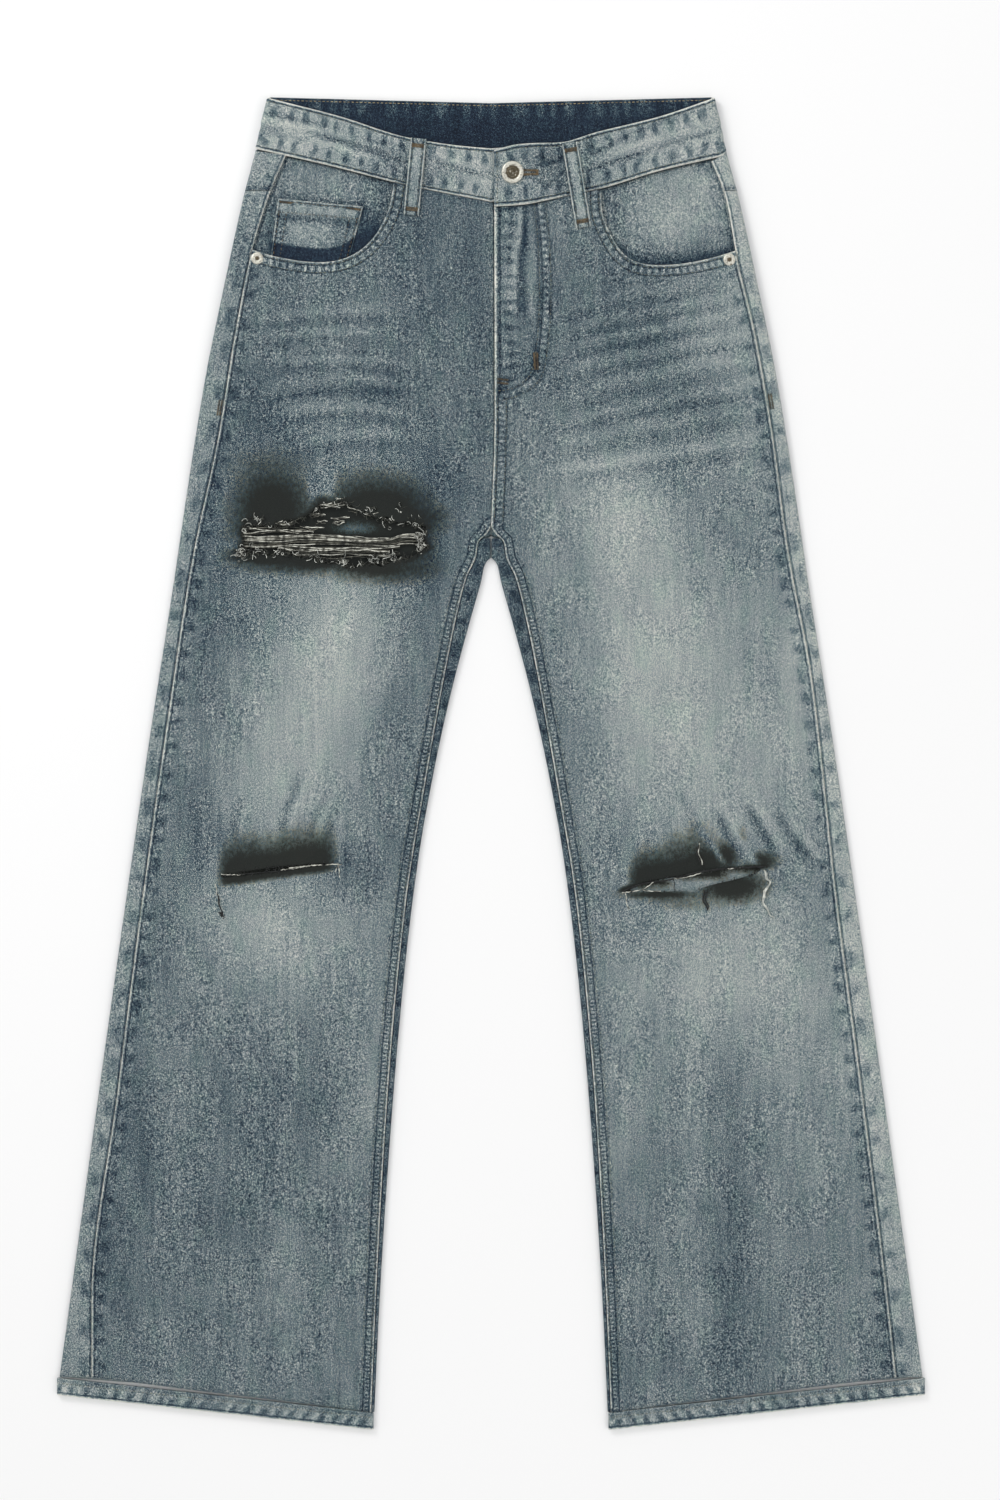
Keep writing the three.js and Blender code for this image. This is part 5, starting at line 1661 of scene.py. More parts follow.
# %% Hems
HEM_THICKNESS = 1.6
HEM_RADIUS = 1.8


def hem_ring(side):
    """Cuts round the flattened end of a leg, and the run along it."""
    low_y, high_y = HEM_INNER[1], HEM_OUTER[1]
    inner = float(INNER_EDGE(low_y)) + HEM_RADIUS
    outer = float(OUTER_EDGE(high_y)) - HEM_RADIUS
    flat = int((outer - inner) / 1.7)
    turn = np.linspace(0, 1, 9)[:-1]
    x = np.concatenate([
        np.linspace(inner, outer, flat, endpoint=False), np.full(8, outer),
        np.linspace(outer, inner, flat, endpoint=False), np.full(8, inner),
    ])
    angle = np.concatenate([
        np.full(flat, -math.pi / 2), math.pi * (turn - 0.5),
        np.full(flat, math.pi / 2), math.pi * (turn + 0.5),
    ])
    cut = rounded_cut(13, 6, 0.06)
    u, w = cut[None, :, 0], cut[None, :, 1]
    rise = u * (HEM_HEIGHT - 0.15)
    step = np.hypot(np.diff(x), HEM_RADIUS * np.diff(angle))
    run = np.concatenate([[0], np.cumsum(step)])[:, None]
    on_front = ramp(np.sin(angle), -0.2, 0.6)[:, None]
    roping = np.sin(2 * math.pi * (run / 11.5 - 0.55 * u) + 1.1 * np.sin(run / 37))
    relief = (0.34 * roping * np.sin(math.pi * u) - 0.25 * hump(u, 0.7, 0.08)) * on_front
    radius = HEM_RADIUS - HEM_THICKNESS * w + relief * (w < 0.3)
    fold_x = x[:, None] + radius * np.cos(angle)[:, None]
    height = hem_line(fold_x) + rise
    z = HEM_RADIUS + radius * np.sin(angle)[:, None]
    sections = np.stack([SIDES[side] * fold_x, height, z], axis=-1)
    return sections, cut, run, roping


def hem(side):
    sections, cut, run, roping = hem_ring(side)
    u, w = np.broadcast_to(cut[:, 0], roping.shape), np.broadcast_to(cut[:, 1], roping.shape)
    base, _ = front_wash(sections[..., 0], sections[..., 1])
    corner = 0.14 * ramp(np.abs(sections[..., 0]), 318, 338)
    shade = base + 0.1 + corner + 0.075 * roping * np.sin(math.pi * u) - 0.12 * hump(u, 0.86, 0.1)
    shade = np.where(w > 0.7, 0.3, shade)
    edge = 14 * u
    fields = plain_fields(shade, edge, run / 11.5 - 0.55 * u)
    return loft("hem_" + side + "_cloth", sections, fields, HEM_DENIM, ring=True)


for side in SIDES:
    piece = hem(side)
    print(piece.name, len(piece.data.polygons), "faces")

# %% [markdown]
# The metal is old brass with a worn silver wash. The button and the rivets are spun from a
# profile, as the real ones are pressed round, with a fine lathe and a soft bevel on each edge.

# %% Button and rivets
def metal(name, colour, dark, rough):
    """Worn plated metal, darker where dirt has stayed in its low places."""
    material, tree, shader, where = new_finish(name)
    blotch = tree.noise(where, 700.0, 4.0)
    low = tree.add("ShaderNodeAttribute", attribute_name="low").outputs["Fac"]
    mask = tree.soft_step(tree.plus(blotch, tree.times(low, 0.5)), 0.45, 0.8)
    tree.feed(shader.inputs["Base Color"], tree.mixed(mask, linear(*colour), linear(*dark)))
    tree.feed(shader.inputs["Roughness"], tree.soft_step(blotch, 0.3, 0.7, rough, rough + 0.2))
    tree.emboss(shader, blotch, 0.25, 0.0002)
    shader.inputs["Metallic"].default_value = 0.85
    return material


WORN_METAL = metal("worn_metal", (222, 220, 208), (96, 88, 72), 0.4)
BUTTON_FOOT = BAND_TOP + 0.3
RIVET_FOOT = 5.2
RIVETS = {"right": (-184.5, 398.5), "left": (188.0, 397.5)}


def spun(name, profile, place, dark_within):
    """A closed piece spun from (radius, height) points; dirt stays within a radius."""
    sides = 72
    angle = np.linspace(0, 2 * math.pi, sides, endpoint=False)
    rings, faces = [], []
    for radius, z in profile[1:-1]:
        x, y = place[0] + radius * np.cos(angle), place[1] + radius * np.sin(angle)
        rings.append(np.stack([x, y, z + 0 * angle], 1))
    points = np.vstack([*rings, [(*place, profile[0][1]), (*place, profile[-1][1])]])
    last = len(rings) - 1
    foot, crown = len(points) - 2, len(points) - 1
    for c in range(sides):
        n = (c + 1) % sides
        faces.append([foot, n, c])
        faces.append([last * sides + c, last * sides + n, crown])
        for r in range(last):
            faces.append([r * sides + c, r * sides + n, (r + 1) * sides + n, (r + 1) * sides + c])
    away = np.hypot(points[:, 0] - place[0], points[:, 1] - place[1])
    dirt = 0.55 * np.exp(-((np.maximum(away - dark_within, 0) / 0.7) ** 2))
    low = dirt + 0.45 * hump(away, dark_within, 0.7)
    return mesh_piece(name, points, facing_out(points, faces), {"low": low}, WORN_METAL)


BUTTON_PROFILE = [
    (0, 0.0), (2.2, 0.0), (2.2, 2.65), (7.4, 2.7), (8.3, 2.95), (8.75, 3.4), (8.8, 3.8), (8.55, 4.3),
    (7.9, 4.68), (7.1, 4.75), (6.2, 4.6), (5.5, 4.25), (4.9, 3.75), (4.6, 3.55), (4.2, 3.75), (3.8, 4.1),
    (3.3, 4.15), (2.9, 3.9), (2.6, 3.5), (2.1, 3.45), (1.8, 3.7), (1.2, 4.25), (0.6, 4.5), (0, 4.55),
]
RIVET_PROFILE = [
    (0, 0), (3.4, 0), (3.4, 0.9), (1.3, 0.95), (1.3, 2.3), (4.3, 2.32), (4.7, 2.45), (4.8, 2.7),
    (4.5, 3.1), (3.9, 3.4), (3.2, 3.5), (2.6, 3.35), (2.1, 3.2), (1.7, 3.3), (1.2, 3.75), (0.6, 3.95),
    (0, 4.0),
]
spun("jeans_button", [(r, BUTTON_FOOT + z) for r, z in BUTTON_PROFILE], BUTTON_PLACE, 4.6)
for side in SIDES:
    spun("pocket_rivet_" + side, [(r, RIVET_FOOT + z) for r, z in RIVET_PROFILE], RIVETS[side], 0.9)
print("metal pieces made")

# %% [markdown]
# Stitches follow paths, so Geometry Nodes make them. The tree takes lines that lie on the cloth,
# cuts them into even lengths, and sets one small rounded stitch at each place, turned along the
# line, or across it for a bartack. One tree serves every thread and every row, through its inputs.

# %% The stitch tree
def thread_finish(name, colour, dark):
    """Spun thread: a fine twist and a little colour change along it."""
    material, tree, shader, where = new_finish(name)
    change = tree.noise(where, 240.0, 3.0)
    twist = tree.bands(where, 900.0, math.radians(30), 2.0)
    mask = tree.soft_step(change, 0.35, 0.65)
    tree.feed(shader.inputs["Base Color"], tree.mixed(mask, linear(*dark), linear(*colour)))
    tree.emboss(shader, twist, 0.4, 0.0002)
    shader.inputs["Roughness"].default_value = 0.7
    return material


def tree_inputs(tree, sizes):
    """Adds a geometry input and output and the named sizes to a new tree."""
    tree.interface.new_socket("Geometry", in_out="INPUT", socket_type="NodeSocketGeometry")
    for name, kind in sizes:
        tree.interface.new_socket(name, in_out="INPUT", socket_type="NodeSocket" + kind)
    tree.interface.new_socket("Geometry", in_out="OUTPUT", socket_type="NodeSocketGeometry")
    tools = Tree(tree)
    return tools, tools.add("NodeGroupInput"), tools.add("NodeGroupOutput")


def between_two(tools, seed, low, high):
    """A number of its own for each stitch."""
    node = tools.add("FunctionNodeRandomValue", {"Seed": seed}, data_type="FLOAT")
    tools.feed(node.inputs[2], low)
    tools.feed(node.inputs[3], high)
    return node.outputs[1]


def end_tree(tools, result, shapes, thread):
    """Makes the shapes real, smooths them and gives them their thread."""
    real = tools.out("GeometryNodeRealizeInstances", {"Geometry": shapes})
    smooth = tools.out("GeometryNodeSetShadeSmooth", {"Geometry": real})
    painted = tools.out("GeometryNodeSetMaterial", {"Geometry": smooth, "Material": thread})
    tools.feed(result.inputs["Geometry"], painted)


def stitch_tree():
    """Sets one rounded stitch at each place along the lines."""
    tree = bpy.data.node_groups.new("stitch_rows", "GeometryNodeTree")
    sizes = [(name, "Float") for name in ("Pitch", "Length", "Thickness", "Turn")]
    tools, given, result = tree_inputs(tree, [*sizes, ("Seed", "Int"), ("Thread", "Material")])
    size = given.outputs
    thick, seed = size["Thickness"], size["Seed"]
    line = tools.out("GeometryNodeMeshToCurve", {"Mesh": size["Geometry"]})
    places = tools.out("GeometryNodeResampleCurve", {"Curve": line, "Length": size["Pitch"]}, mode="LENGTH")
    ball = tools.out("GeometryNodeMeshUVSphere", {"Segments": 6, "Rings": 5, "Radius": 0.5})
    shape = tools.out("ShaderNodeCombineXYZ", {"X": size["Length"], "Y": thick, "Z": thick})
    stitch = tools.out("GeometryNodeTransform", {"Geometry": ball, "Scale": shape})
    along = tools.out("GeometryNodeInputTangent")
    aim = tools.out("FunctionNodeAlignRotationToVector", {"Vector": along}, axis="X")
    turn = tools.plus(size["Turn"], between_two(tools, seed, -0.12, 0.12))
    spin = tools.out("ShaderNodeCombineXYZ", {"Z": turn})
    swing = tools.out("FunctionNodeEulerToRotation", {"Euler": spin})
    rotation = tools.out(
        "FunctionNodeRotateRotation", {"Rotation": aim, "Rotate By": swing}, rotation_space="LOCAL",
    )
    grow = between_two(tools, seed, 0.86, 1.06)
    placed = tools.out("GeometryNodeInstanceOnPoints", {
        "Points": places, "Instance": stitch, "Rotation": rotation, "Scale": grow,
    })
    end_tree(tools, result, placed, size["Thread"])
    return tree


def yarn_tree():
    """Turns lines into round yarns of a given thickness."""
    tree = bpy.data.node_groups.new("loose_yarns", "GeometryNodeTree")
    tools, given, result = tree_inputs(tree, [("Thickness", "Float"), ("Thread", "Material")])
    line = tools.out("GeometryNodeMeshToCurve", {"Mesh": given.outputs["Geometry"]})
    half = tools.times(given.outputs["Thickness"], 0.5)
    ring = tools.out("GeometryNodeCurvePrimitiveCircle", {"Resolution": 5, "Radius": half})
    tube = tools.out("GeometryNodeCurveToMesh", {"Curve": line, "Profile Curve": ring, "Fill Caps": True})
    end_tree(tools, result, tube, given.outputs["Thread"])
    return tree


STITCHES = stitch_tree()
YARNS = yarn_tree()


def grown(name, lines, tree, settings):
    """Grows a tree on lines of points and keeps the result as one plain mesh."""
    points, edges = [], []
    for line in lines:
        start = len(points)
        points.extend((np.asarray(line) * MM).tolist())
        edges.extend([(start + i, start + i + 1) for i in range(len(line) - 1)])
    mesh = bpy.data.meshes.new(name + "_lines")
    mesh.from_pydata(points, edges, [])
    source = bpy.data.objects.new(name + "_lines", mesh)
    scene.collection.objects.link(source)
    grower = source.modifiers.new("grow", "NODES")
    grower.node_group = tree
    for item in tree.interface.items_tree:
        if item.in_out == "INPUT" and item.name in settings:
            grower[item.identifier] = settings[item.name]
    view = bpy.context.evaluated_depsgraph_get()
    result = bpy.data.meshes.new_from_object(source.evaluated_get(view))
    result.name = name
    source.modifiers.clear()
    bpy.data.objects.remove(source)
    print(name, len(result.polygons), "faces")
    return add_piece(name, result)

# %% [markdown]
# A jeans maker picks a thread for each job: olive for most rows, navy at the side seam, brown on
# the coin pocket, rust for the bartacks, tan inside the band. The rows are all set by the same two
# helpers, so a thread, a pitch and a length are all that a row has to say.

# %% Threads
TAN_THREAD = thread_finish("tan_thread", (190, 172, 132), (120, 106, 78))
OLIVE_THREAD = thread_finish("olive_thread", (122, 124, 104), (66, 72, 70))
NAVY_THREAD = thread_finish("navy_thread", (62, 72, 82), (36, 44, 54))
RUST_THREAD = thread_finish("rust_thread", (116, 98, 70), (62, 56, 46))
BROWN_THREAD = thread_finish("brown_thread", (112, 98, 72), (60, 56, 48))
ECRU_THREAD = thread_finish("ecru_thread", (236, 236, 224), (92, 92, 84))
WHITE_THREAD = thread_finish("white_thread", (232, 233, 224), (168, 172, 166))


def stitched(name, lines, thread, seed, pitch=3.3, length=2.5, turn=0.0, thickness=0.62):
    """Rows of stitches, with their sizes in mm."""
    sizes = {"Pitch": pitch * MM, "Length": length * MM, "Thickness": thickness * MM}
    return grown(name, lines, STITCHES, {**sizes, "Turn": turn, "Seed": seed, "Thread": thread})


def tacked(name, lines, thread, seed, pitch, length, thickness):
    """Stitches set across their line, as in a bartack."""
    return stitched(name, lines, thread, seed, pitch, length, math.pi / 2, thickness)


def yarns(name, lines, thickness, thread):
    """Loose yarns of a thickness in mm."""
    return grown(name, lines, YARNS, {"Thickness": thickness * MM, "Thread": thread})


def moved_in(line, distance):
    """A polyline moved sideways, to its left if the distance is positive."""
    step = np.gradient(line, axis=0)
    step = step / np.linalg.norm(step, axis=1, keepdims=True)
    return line + distance * np.stack([-step[:, 1], step[:, 0]], axis=1)


def on_front(side, line, above=0.12):
    """Lays a flat line on the front panel's face."""
    line = np.asarray(line, float)
    z = front_height(side, line[:, 0], line[:, 1]) + above
    return np.column_stack([line, z])


def at_height(line, z):
    line = np.asarray(line, float)
    return np.column_stack([line, np.full(len(line), z)])


def even_line(start, end, first, last, count):
    """Points in a row between two shares of the way from start to end."""
    return mix(np.asarray(start, float), np.asarray(end, float), np.linspace(first, last, count)[:, None])


def short_line(x0, y0, x1, y1, z):
    return at_height(even_line((x0, y0), (x1, y1), 0, 1, 6), z)


# %% [markdown]
# The rows are laid where a sewing machine would put them: beside each seam, a foot's width apart
# where they are double.

# %% Stitch rows on the front
front_rows, inseam_rows, side_rows = [], [], []
for side in SIDES:
    sign = SIDES[side]
    mouth = LINES[side]["mouth"]
    for inset in (2.0, 8.2):
        row = moved_in(mouth, -sign * inset)
        row = row[(np.abs(row[:, 0]) < SIDE_SEAM[side](row[:, 1]) - 2)]
        row = row[row[:, 1] < FRONT_BAND_SEAM[side](np.abs(row[:, 0])) - 1]
        front_rows.append(on_front(side, row))
    inseam = down_line(INSEAM, 150, HEM_ROW + 1, side, 4.0)
    for inset in (2.0, 8.6):
        inseam_rows.append(on_front(side, inseam + (sign * inset, 0)))
    top = down_line(SIDE_SEAM[side], 392, 292, side, 4.0)
    side_rows.append(on_front(side, top - (sign * 2.2, 0)))
for key in ("fly_outer", "fly_inner"):
    front_rows.append(on_front("left", LINES[key]))
centre_y = np.linspace(438, 292, 60)
centre_row = np.stack([CENTRE_FRONT(centre_y) + 2.3, centre_y], axis=1)
low_y = np.linspace(288, 192, 40)
crotch_rows = [np.stack([CENTRE_FRONT(low_y) + inset, low_y], axis=1) for inset in (2.4, 9.2)]
side_rows.append(on_front("left", centre_row))
front_rows.extend(on_front("left", row) for row in crotch_rows)
stitched("front_topstitches", front_rows, OLIVE_THREAD, 3)
stitched("inseam_stitches", inseam_rows, OLIVE_THREAD, 4, thickness=0.55)
stitched("seam_edge_stitches", side_rows, NAVY_THREAD, 5, thickness=0.5)

# %% [markdown]
# The band has a row along each edge and one down its end, and inside it shows a tan row. A loop
# has two rows and two tacks at each end. The coin pocket has doubled rows, and a hem has one row
# that shows on both plies.

# %% Stitch rows on the band, loops, coin pocket and hems
def band_row(side, start, end, share):
    """A row along the band's face at a share of its height."""
    out = []
    for x in np.linspace(start, end, int(abs(end - start) / 3) + 2):
        low, high = np.array(band_station(side, x, False)[:2])
        out.append(mix(low, high, share) + (0, 0, 0.34))
    return np.array(out)


band_rows = [
    band_row(side, start, SIDES[side] * FLAT_END, share)
    for side, start in (("right", 0), ("left", 5)) for share in (0.07, 0.93)
]
end_low, end_high = np.array(band_station("left", 5.0, False)[:2])
band_rows.append(np.array([mix(end_low, end_high, s) + (0, 0, 0.3) for s in np.linspace(0.07, 0.93, 12)]))
stitched("band_stitches", band_rows, OLIVE_THREAD, 6)

inner_x = np.linspace(-172, 172, 116)
inner_row = at_height(np.column_stack([inner_x, BACK_BAND_EDGE(np.abs(inner_x)) - 2.4]), 3.78)
stitched("inside_band_stitches", [inner_row], TAN_THREAD, 7)


def loop_rows(top, bottom, heights):
    top, bottom, _, across = loop_frame(top, bottom)
    share = np.linspace(0.02, 0.98, 24)
    z = smooth_through([h[0] for h in heights], [h[1] for h in heights])(share) + 0.05
    rows = []
    for aside in (-4.0, 4.0):
        rows.append(np.column_stack([top + (bottom - top) * share[:, None] + across * aside, z]))
    return rows


loop_stitches = []
tacks = []
for side in SIDES:
    loop_stitches.extend(loop_rows(*FRONT_LOOPS[side], LOOP_RISE))
    top, bottom, along, across = loop_frame(*FRONT_LOOPS[side])
    for end, step, z in ((top, 6.5, 9.15), (top, 5.0, 9.1), (bottom, -4.0, 8.85), (bottom, -5.6, 8.95)):
        place = end + along * step
        tacks.append(short_line(*(place - across * 4.6), *(place + across * 4.6), z))
stitched("loop_stitches", loop_stitches, OLIVE_THREAD, 8, thickness=0.5)


def coin_rows():
    corners = np.array(COIN_POCKET, float)
    a, b, c, d = corners
    rows = []
    for drop in (2.0, 10.0):
        left, right = mix(a, d, drop / 50), mix(b, c, drop / 52)
        rows.append(at_height(even_line(left, right, 0.03, 0.97, 24), COIN_TOP + 0.62))
    for start, end, other in ((a, d, b), (b, c, a)):
        for inset in (2.0, 8.0):
            share = inset / np.linalg.norm(b - a)
            top, low = mix(start, other, share), mix(end, c if start is a else d, share)
            rows.append(at_height(even_line(top, low, 0.04, 0.95, 20), COIN_TOP + 0.2))
    return rows


stitched("coin_pocket_stitches", coin_rows(), BROWN_THREAD, 9)

hem_rows = []
for side in SIDES:
    flat_x = np.linspace(96, 338, 90)
    for z in (2 * HEM_RADIUS + 0.1, -0.02):
        hem_rows.append(at_height(np.column_stack([SIDES[side] * flat_x, hem_line(flat_x) + 9.8]), z))
stitched("hem_stitches", hem_rows, OLIVE_THREAD, 10)

# %% [markdown]
# On the back, the same doubled rows hold the yokes, the patch pockets and the seat seam. They lie
# on the underside of the cloth, so they are dropped a tenth of a millimetre below it.

# %% Stitch rows on the back
def under(line, drop=0.1):
    """Lays a flat line on the underside of the back."""
    line = np.asarray(line, float)
    return np.column_stack([line, back_lift(line[:, 1]) - drop])


seat_rows = []
for side in SIDES:
    sign = SIDES[side]
    x = np.linspace(1, 188, 64)
    for drop in (2.2, 8.6):
        seat_rows.append(under(np.column_stack([sign * x, YOKE_SEAM(x) - drop])))
    outline = np.array([POCKET_TOP[1], *POCKET_LOW[::-1], POCKET_TOP[0]], float)
    centre = outline.mean(axis=0)
    for shrink in (0.965, 0.88):
        inset = centre + (outline - centre) * shrink
        ends = zip(inset[:-1], inset[1:], strict=True)
        line = np.vstack([even_line(p, q, 0, 13 / 14, 14) for p, q in ends])
        seat_rows.append(at_height(line * (sign, 1), 0.02))
    for drop in (2.5, 12):
        line = even_line(*POCKET_TOP, 0.02, 0.98, 24) - (0, drop)
        seat_rows.append(at_height(line * (sign, 1), 0.02))
centre_back_y = np.linspace(478, 192, 90)
for inset in (2.2, 8.6):
    seat_rows.append(under(np.column_stack([np.full(90, inset), centre_back_y])))
band_x = np.linspace(-180, 180, 120)
for offset, line in ((2.6, BACK_BAND_SEAM), (-2.6, BACK_BAND_EDGE)):
    scale = 1.0 if offset > 0 else 172 / 180
    row = np.column_stack([band_x * scale, line(np.abs(band_x)) + offset])
    seat_rows.append(at_height(row, BACK_LIFT - 0.1))
stitched("back_stitches", seat_rows, OLIVE_THREAD, 11)

# %% [markdown]
# Bartacks are tight zigzags that hold the places which take the most pull: the loop ends, the
# fly, the coin pocket's corners and the foot of each side seam. The buttonhole is worked in the
# same way, with stitches packed across its slit.

# %% Bartacks and buttonhole
def tack_z(side, x, y):
    return float(front_height(side, np.array([x]), np.array([y]))[0]) + 0.2


tacks.append(short_line(-166.5, 443.3, -157.5, 442.4, COIN_TOP + 0.75))
tacks.append(short_line(-113, 438.5, -103, 437, COIN_TOP + 0.75))
tacked("bartacks", tacks, RUST_THREAD, 12, 0.55, 2.3, 0.55)
fly_tacks = [
    short_line(5, 303.5, 13.5, 302.5, tack_z("left", 8, 303)),
    short_line(5, 300.6, 13.5, 299.6, tack_z("left", 8, 300)),
    short_line(34.0, 324, 34.8, 311, tack_z("left", 34, 320)),
    short_line(36.4, 324, 37.0, 311, tack_z("left", 36.5, 320)),
]
tacked("fly_bartacks", fly_tacks, RUST_THREAD, 13, 0.6, 2.4, 0.55)
side_tacks = []
for side, low, high in (("right", 275, 287), ("left", 280, 292)):
    for aside in (1.8, 3.8):
        ends = [SIDES[side] * (float(SIDE_SEAM[side](y)) + aside) for y in (high, low)]
        side_tacks.append(short_line(ends[0], high, ends[1], low, 5.1))
tacked("side_bartacks", side_tacks, BROWN_THREAD, 15, 0.6, 1.9, 0.5)
SLIT_Z = BAND_TOP + OVERLAP_RISE + 0.45
slit_lines = [
    short_line(24.5, 467.7, BUTTONHOLE_END, 467.4, SLIT_Z),
    short_line(24.5, 464.3, BUTTONHOLE_END, 464.6, SLIT_Z),
    short_line(BUTTONHOLE_END + 0.6, 464, BUTTONHOLE_END + 0.6, 468, SLIT_Z),
]
tacked("buttonhole", slit_lines, RUST_THREAD, 14, 0.6, 2.6, 0.6)

# %% [markdown]
# Where denim is cut and washed, the blue warp falls out and the pale weft stays, so long ecru
# yarns lie side by side across the thigh rip, and the ends of both fray into curls round its
# edge. Each yarn is a line with a slow wave of its own, drawn from one seeded generator.

# %% Yarns across the thigh rip
draw = np.random.default_rng(41)


def wandering(start, end, count, swing, lift, z):
    """A yarn from one point to another that sways, sags and lifts a little."""
    t = np.linspace(0, 1, count)
    line = mix(np.array(start, float), np.array(end, float), t[:, None])
    length = math.hypot(*(line[-1] - line[0]))
    sway = np.zeros(count)
    for k in (1, 2, 3, 5):
        sway += draw.normal(0, swing / k) * np.sin(math.pi * k * t + draw.uniform(0, 2 * math.pi) * (k > 1))
    across = np.array([-(line[-1] - line[0])[1], (line[-1] - line[0])[0]]) / max(length, 1e-6)
    line = line + sway[:, None] * across * np.sin(math.pi * t)[:, None] ** 0.5
    ripple = 0.3 * np.sin(2 * math.pi * t * draw.uniform(1, 3) + draw.uniform(0, 6))
    height = z + lift * np.sin(math.pi * t) + ripple
    return np.column_stack([line, np.maximum(height, 1.6)])


RIP_BUNDLES = [
    # points the bundle passes, how many yarns, how far they spread
    ([(-196, 185), (-180, 185), (-164, 186), (-150, 184), (-140, 182)], 3, 0.5),
    ([(-196, 182), (-182, 182.4), (-166, 183), (-150, 181), (-138, 179.5)], 3, 0.4),
    ([(-196, 179), (-176, 179.4), (-152, 180.6), (-128, 179.6), (-104, 178.4), (-80, 178)], 4, 0.4),
    ([(-197, 176), (-178, 175.5), (-155, 178), (-130, 176.8), (-110, 175.3), (-90, 175), (-80, 175.4),
      (-71, 179), (-63, 179.5), (-54, 179)], 9, 0.6),
    ([(-196, 173), (-172, 172.5), (-152, 175), (-125, 174), (-95, 172.6), (-78, 173), (-70, 175.5),
      (-54, 175)], 4, 0.4),
    ([(-190, 170.5), (-168, 171), (-148, 171), (-120, 171.4), (-93, 170.6), (-72, 171)], 3, 0.4),
    ([(-168, 170), (-150, 168), (-143, 167.4), (-120, 168.6), (-104, 168), (-93, 168), (-80, 167)], 6, 0.6),
    ([(-160, 165), (-135, 165.4), (-108, 165), (-88, 164), (-72, 166)], 3, 0.5),
]


def rip_yarns():
    """Bundles of weft across the rip; every yarn keeps near its bundle's line."""
    bundle = []
    for points, count, spread in RIP_BUNDLES:
        spine = sampled(points, 3.0)
        t = np.linspace(0, 1, len(spine))
        for _ in range(count):
            sway = np.zeros(len(t))
            for k in (2, 3, 5, 8, 13):
                sway += draw.normal(0, 1.1 / k**0.8) * np.sin(math.pi * k * t + draw.uniform(0, 6))
            aside = draw.normal(0, 1.5 * spread) * (0.5 + 0.5 * np.sin(math.pi * t)) + sway
            z = 3.1 + draw.uniform(-0.7, 0.9) + 0.4 * np.sin(math.pi * t * draw.uniform(2, 5))
            bundle.append(np.column_stack([spine[:, 0], spine[:, 1] + aside, np.clip(z, 2.0, 4.8)]))
    return bundle


BROKEN_ENDS = [
    # start, length, slope, how many
    ((-135, 203.5), 16, 0.12, 5), ((-125, 206), 12, 0.3, 4), ((-141, 196.5), 9, 0.05, 4),
    ((-122, 193), 11, 0.06, 4), ((-139, 190), 7, 0.02, 3), ((-124, 190), 8, 0.05, 3),
    ((-150, 188), 18, -0.04, 3), ((-168, 189), 12, 0.1, 3), ((-112, 200), 9, -0.2, 3),
    ((-100, 197), 12, 0.1, 4),
]


def broken_yarns():
    """Loose lengths that hang on at one end under the peak."""
    bundle = []
    for (x, y), length, slope, count in BROKEN_ENDS:
        for _ in range(count):
            start = (x + draw.normal(0, 1.5), y + draw.normal(0, 0.9))
            reach = length * draw.uniform(0.6, 1.2)
            end = (start[0] + reach, start[1] + reach * (slope + draw.normal(0, 0.08)))
            bundle.append(wandering(start, end, 12, 0.8, 0.7, 3.6))
    return bundle


weft = rip_yarns()
DIM_YARN = thread_finish("dim_yarn", (74, 76, 68), (30, 32, 30))
# dark yarns laid just under every other weft bundle: painted shade in the gaps between the yarns
shade_yarns_under_weft = [line - np.array([0, 0.9, 0.8]) for line in rip_yarns()[::2]]
MID_YARN = thread_finish("mid_yarn", (142, 140, 128), (54, 55, 50))
yarns("pale_weft", weft[::3] + broken_yarns()[::2], 0.8, ECRU_THREAD)
yarns("mid_weft", weft[1::3] + broken_yarns()[::2], 0.5, MID_YARN)
yarns("dim_weft", weft[2::3] + shade_yarns_under_weft, 0.55, DIM_YARN)

# %% [markdown]
# The cut edge of the rip ends in hundreds of short curls. Each is a short line that bends a little
# more at every step. Thick tufts are listed where the edge frays most, and a seeded draw
# strews the rest round the whole outline. Pale and dark ones are mixed: the dark ones are partly
# dark yarn ends and partly put in as painted shade among the tufts.

# %% Frayed curls
def curl(x, y, heading, length, turn, z):
    """A short end that curls as it leaves the cut edge."""
    steps = 8
    angle = heading + np.cumsum(turn / steps + draw.normal(0, 0.18, steps))
    path_x = x + np.concatenate([[0], np.cumsum(length / steps * np.cos(angle))])
    path_y = y + np.concatenate([[0], np.cumsum(length / steps * np.sin(angle))])
    lift = z + np.sin(np.linspace(0, math.pi * 0.8, steps + 1)) * draw.uniform(0.4, 1.5)
    return np.column_stack([path_x, path_y, lift])


def frayed_edge(outline, count, reach, z=3.7):
    """Short curls all round a tear, that lean in across it."""
    closed = np.vstack([outline, outline[:1]])
    step = np.hypot(*np.diff(closed, axis=0).T)
    along = np.concatenate([[0], np.cumsum(step)])
    centre = outline.mean(axis=0)
    curls = []
    for s in draw.uniform(0, along[-1], count):
        place = np.array([np.interp(s, along, closed[:, i]) for i in (0, 1)]) + draw.normal(0, 0.5, 2)
        inward = math.atan2(centre[1] - place[1], 0.4 * (centre[0] - place[0]))
        length = abs(draw.normal(reach, reach * 0.35)) + 0.8
        curls.append(curl(*place, inward + draw.normal(0, 0.8), length, draw.normal(0, 2.4), z))
    return curls


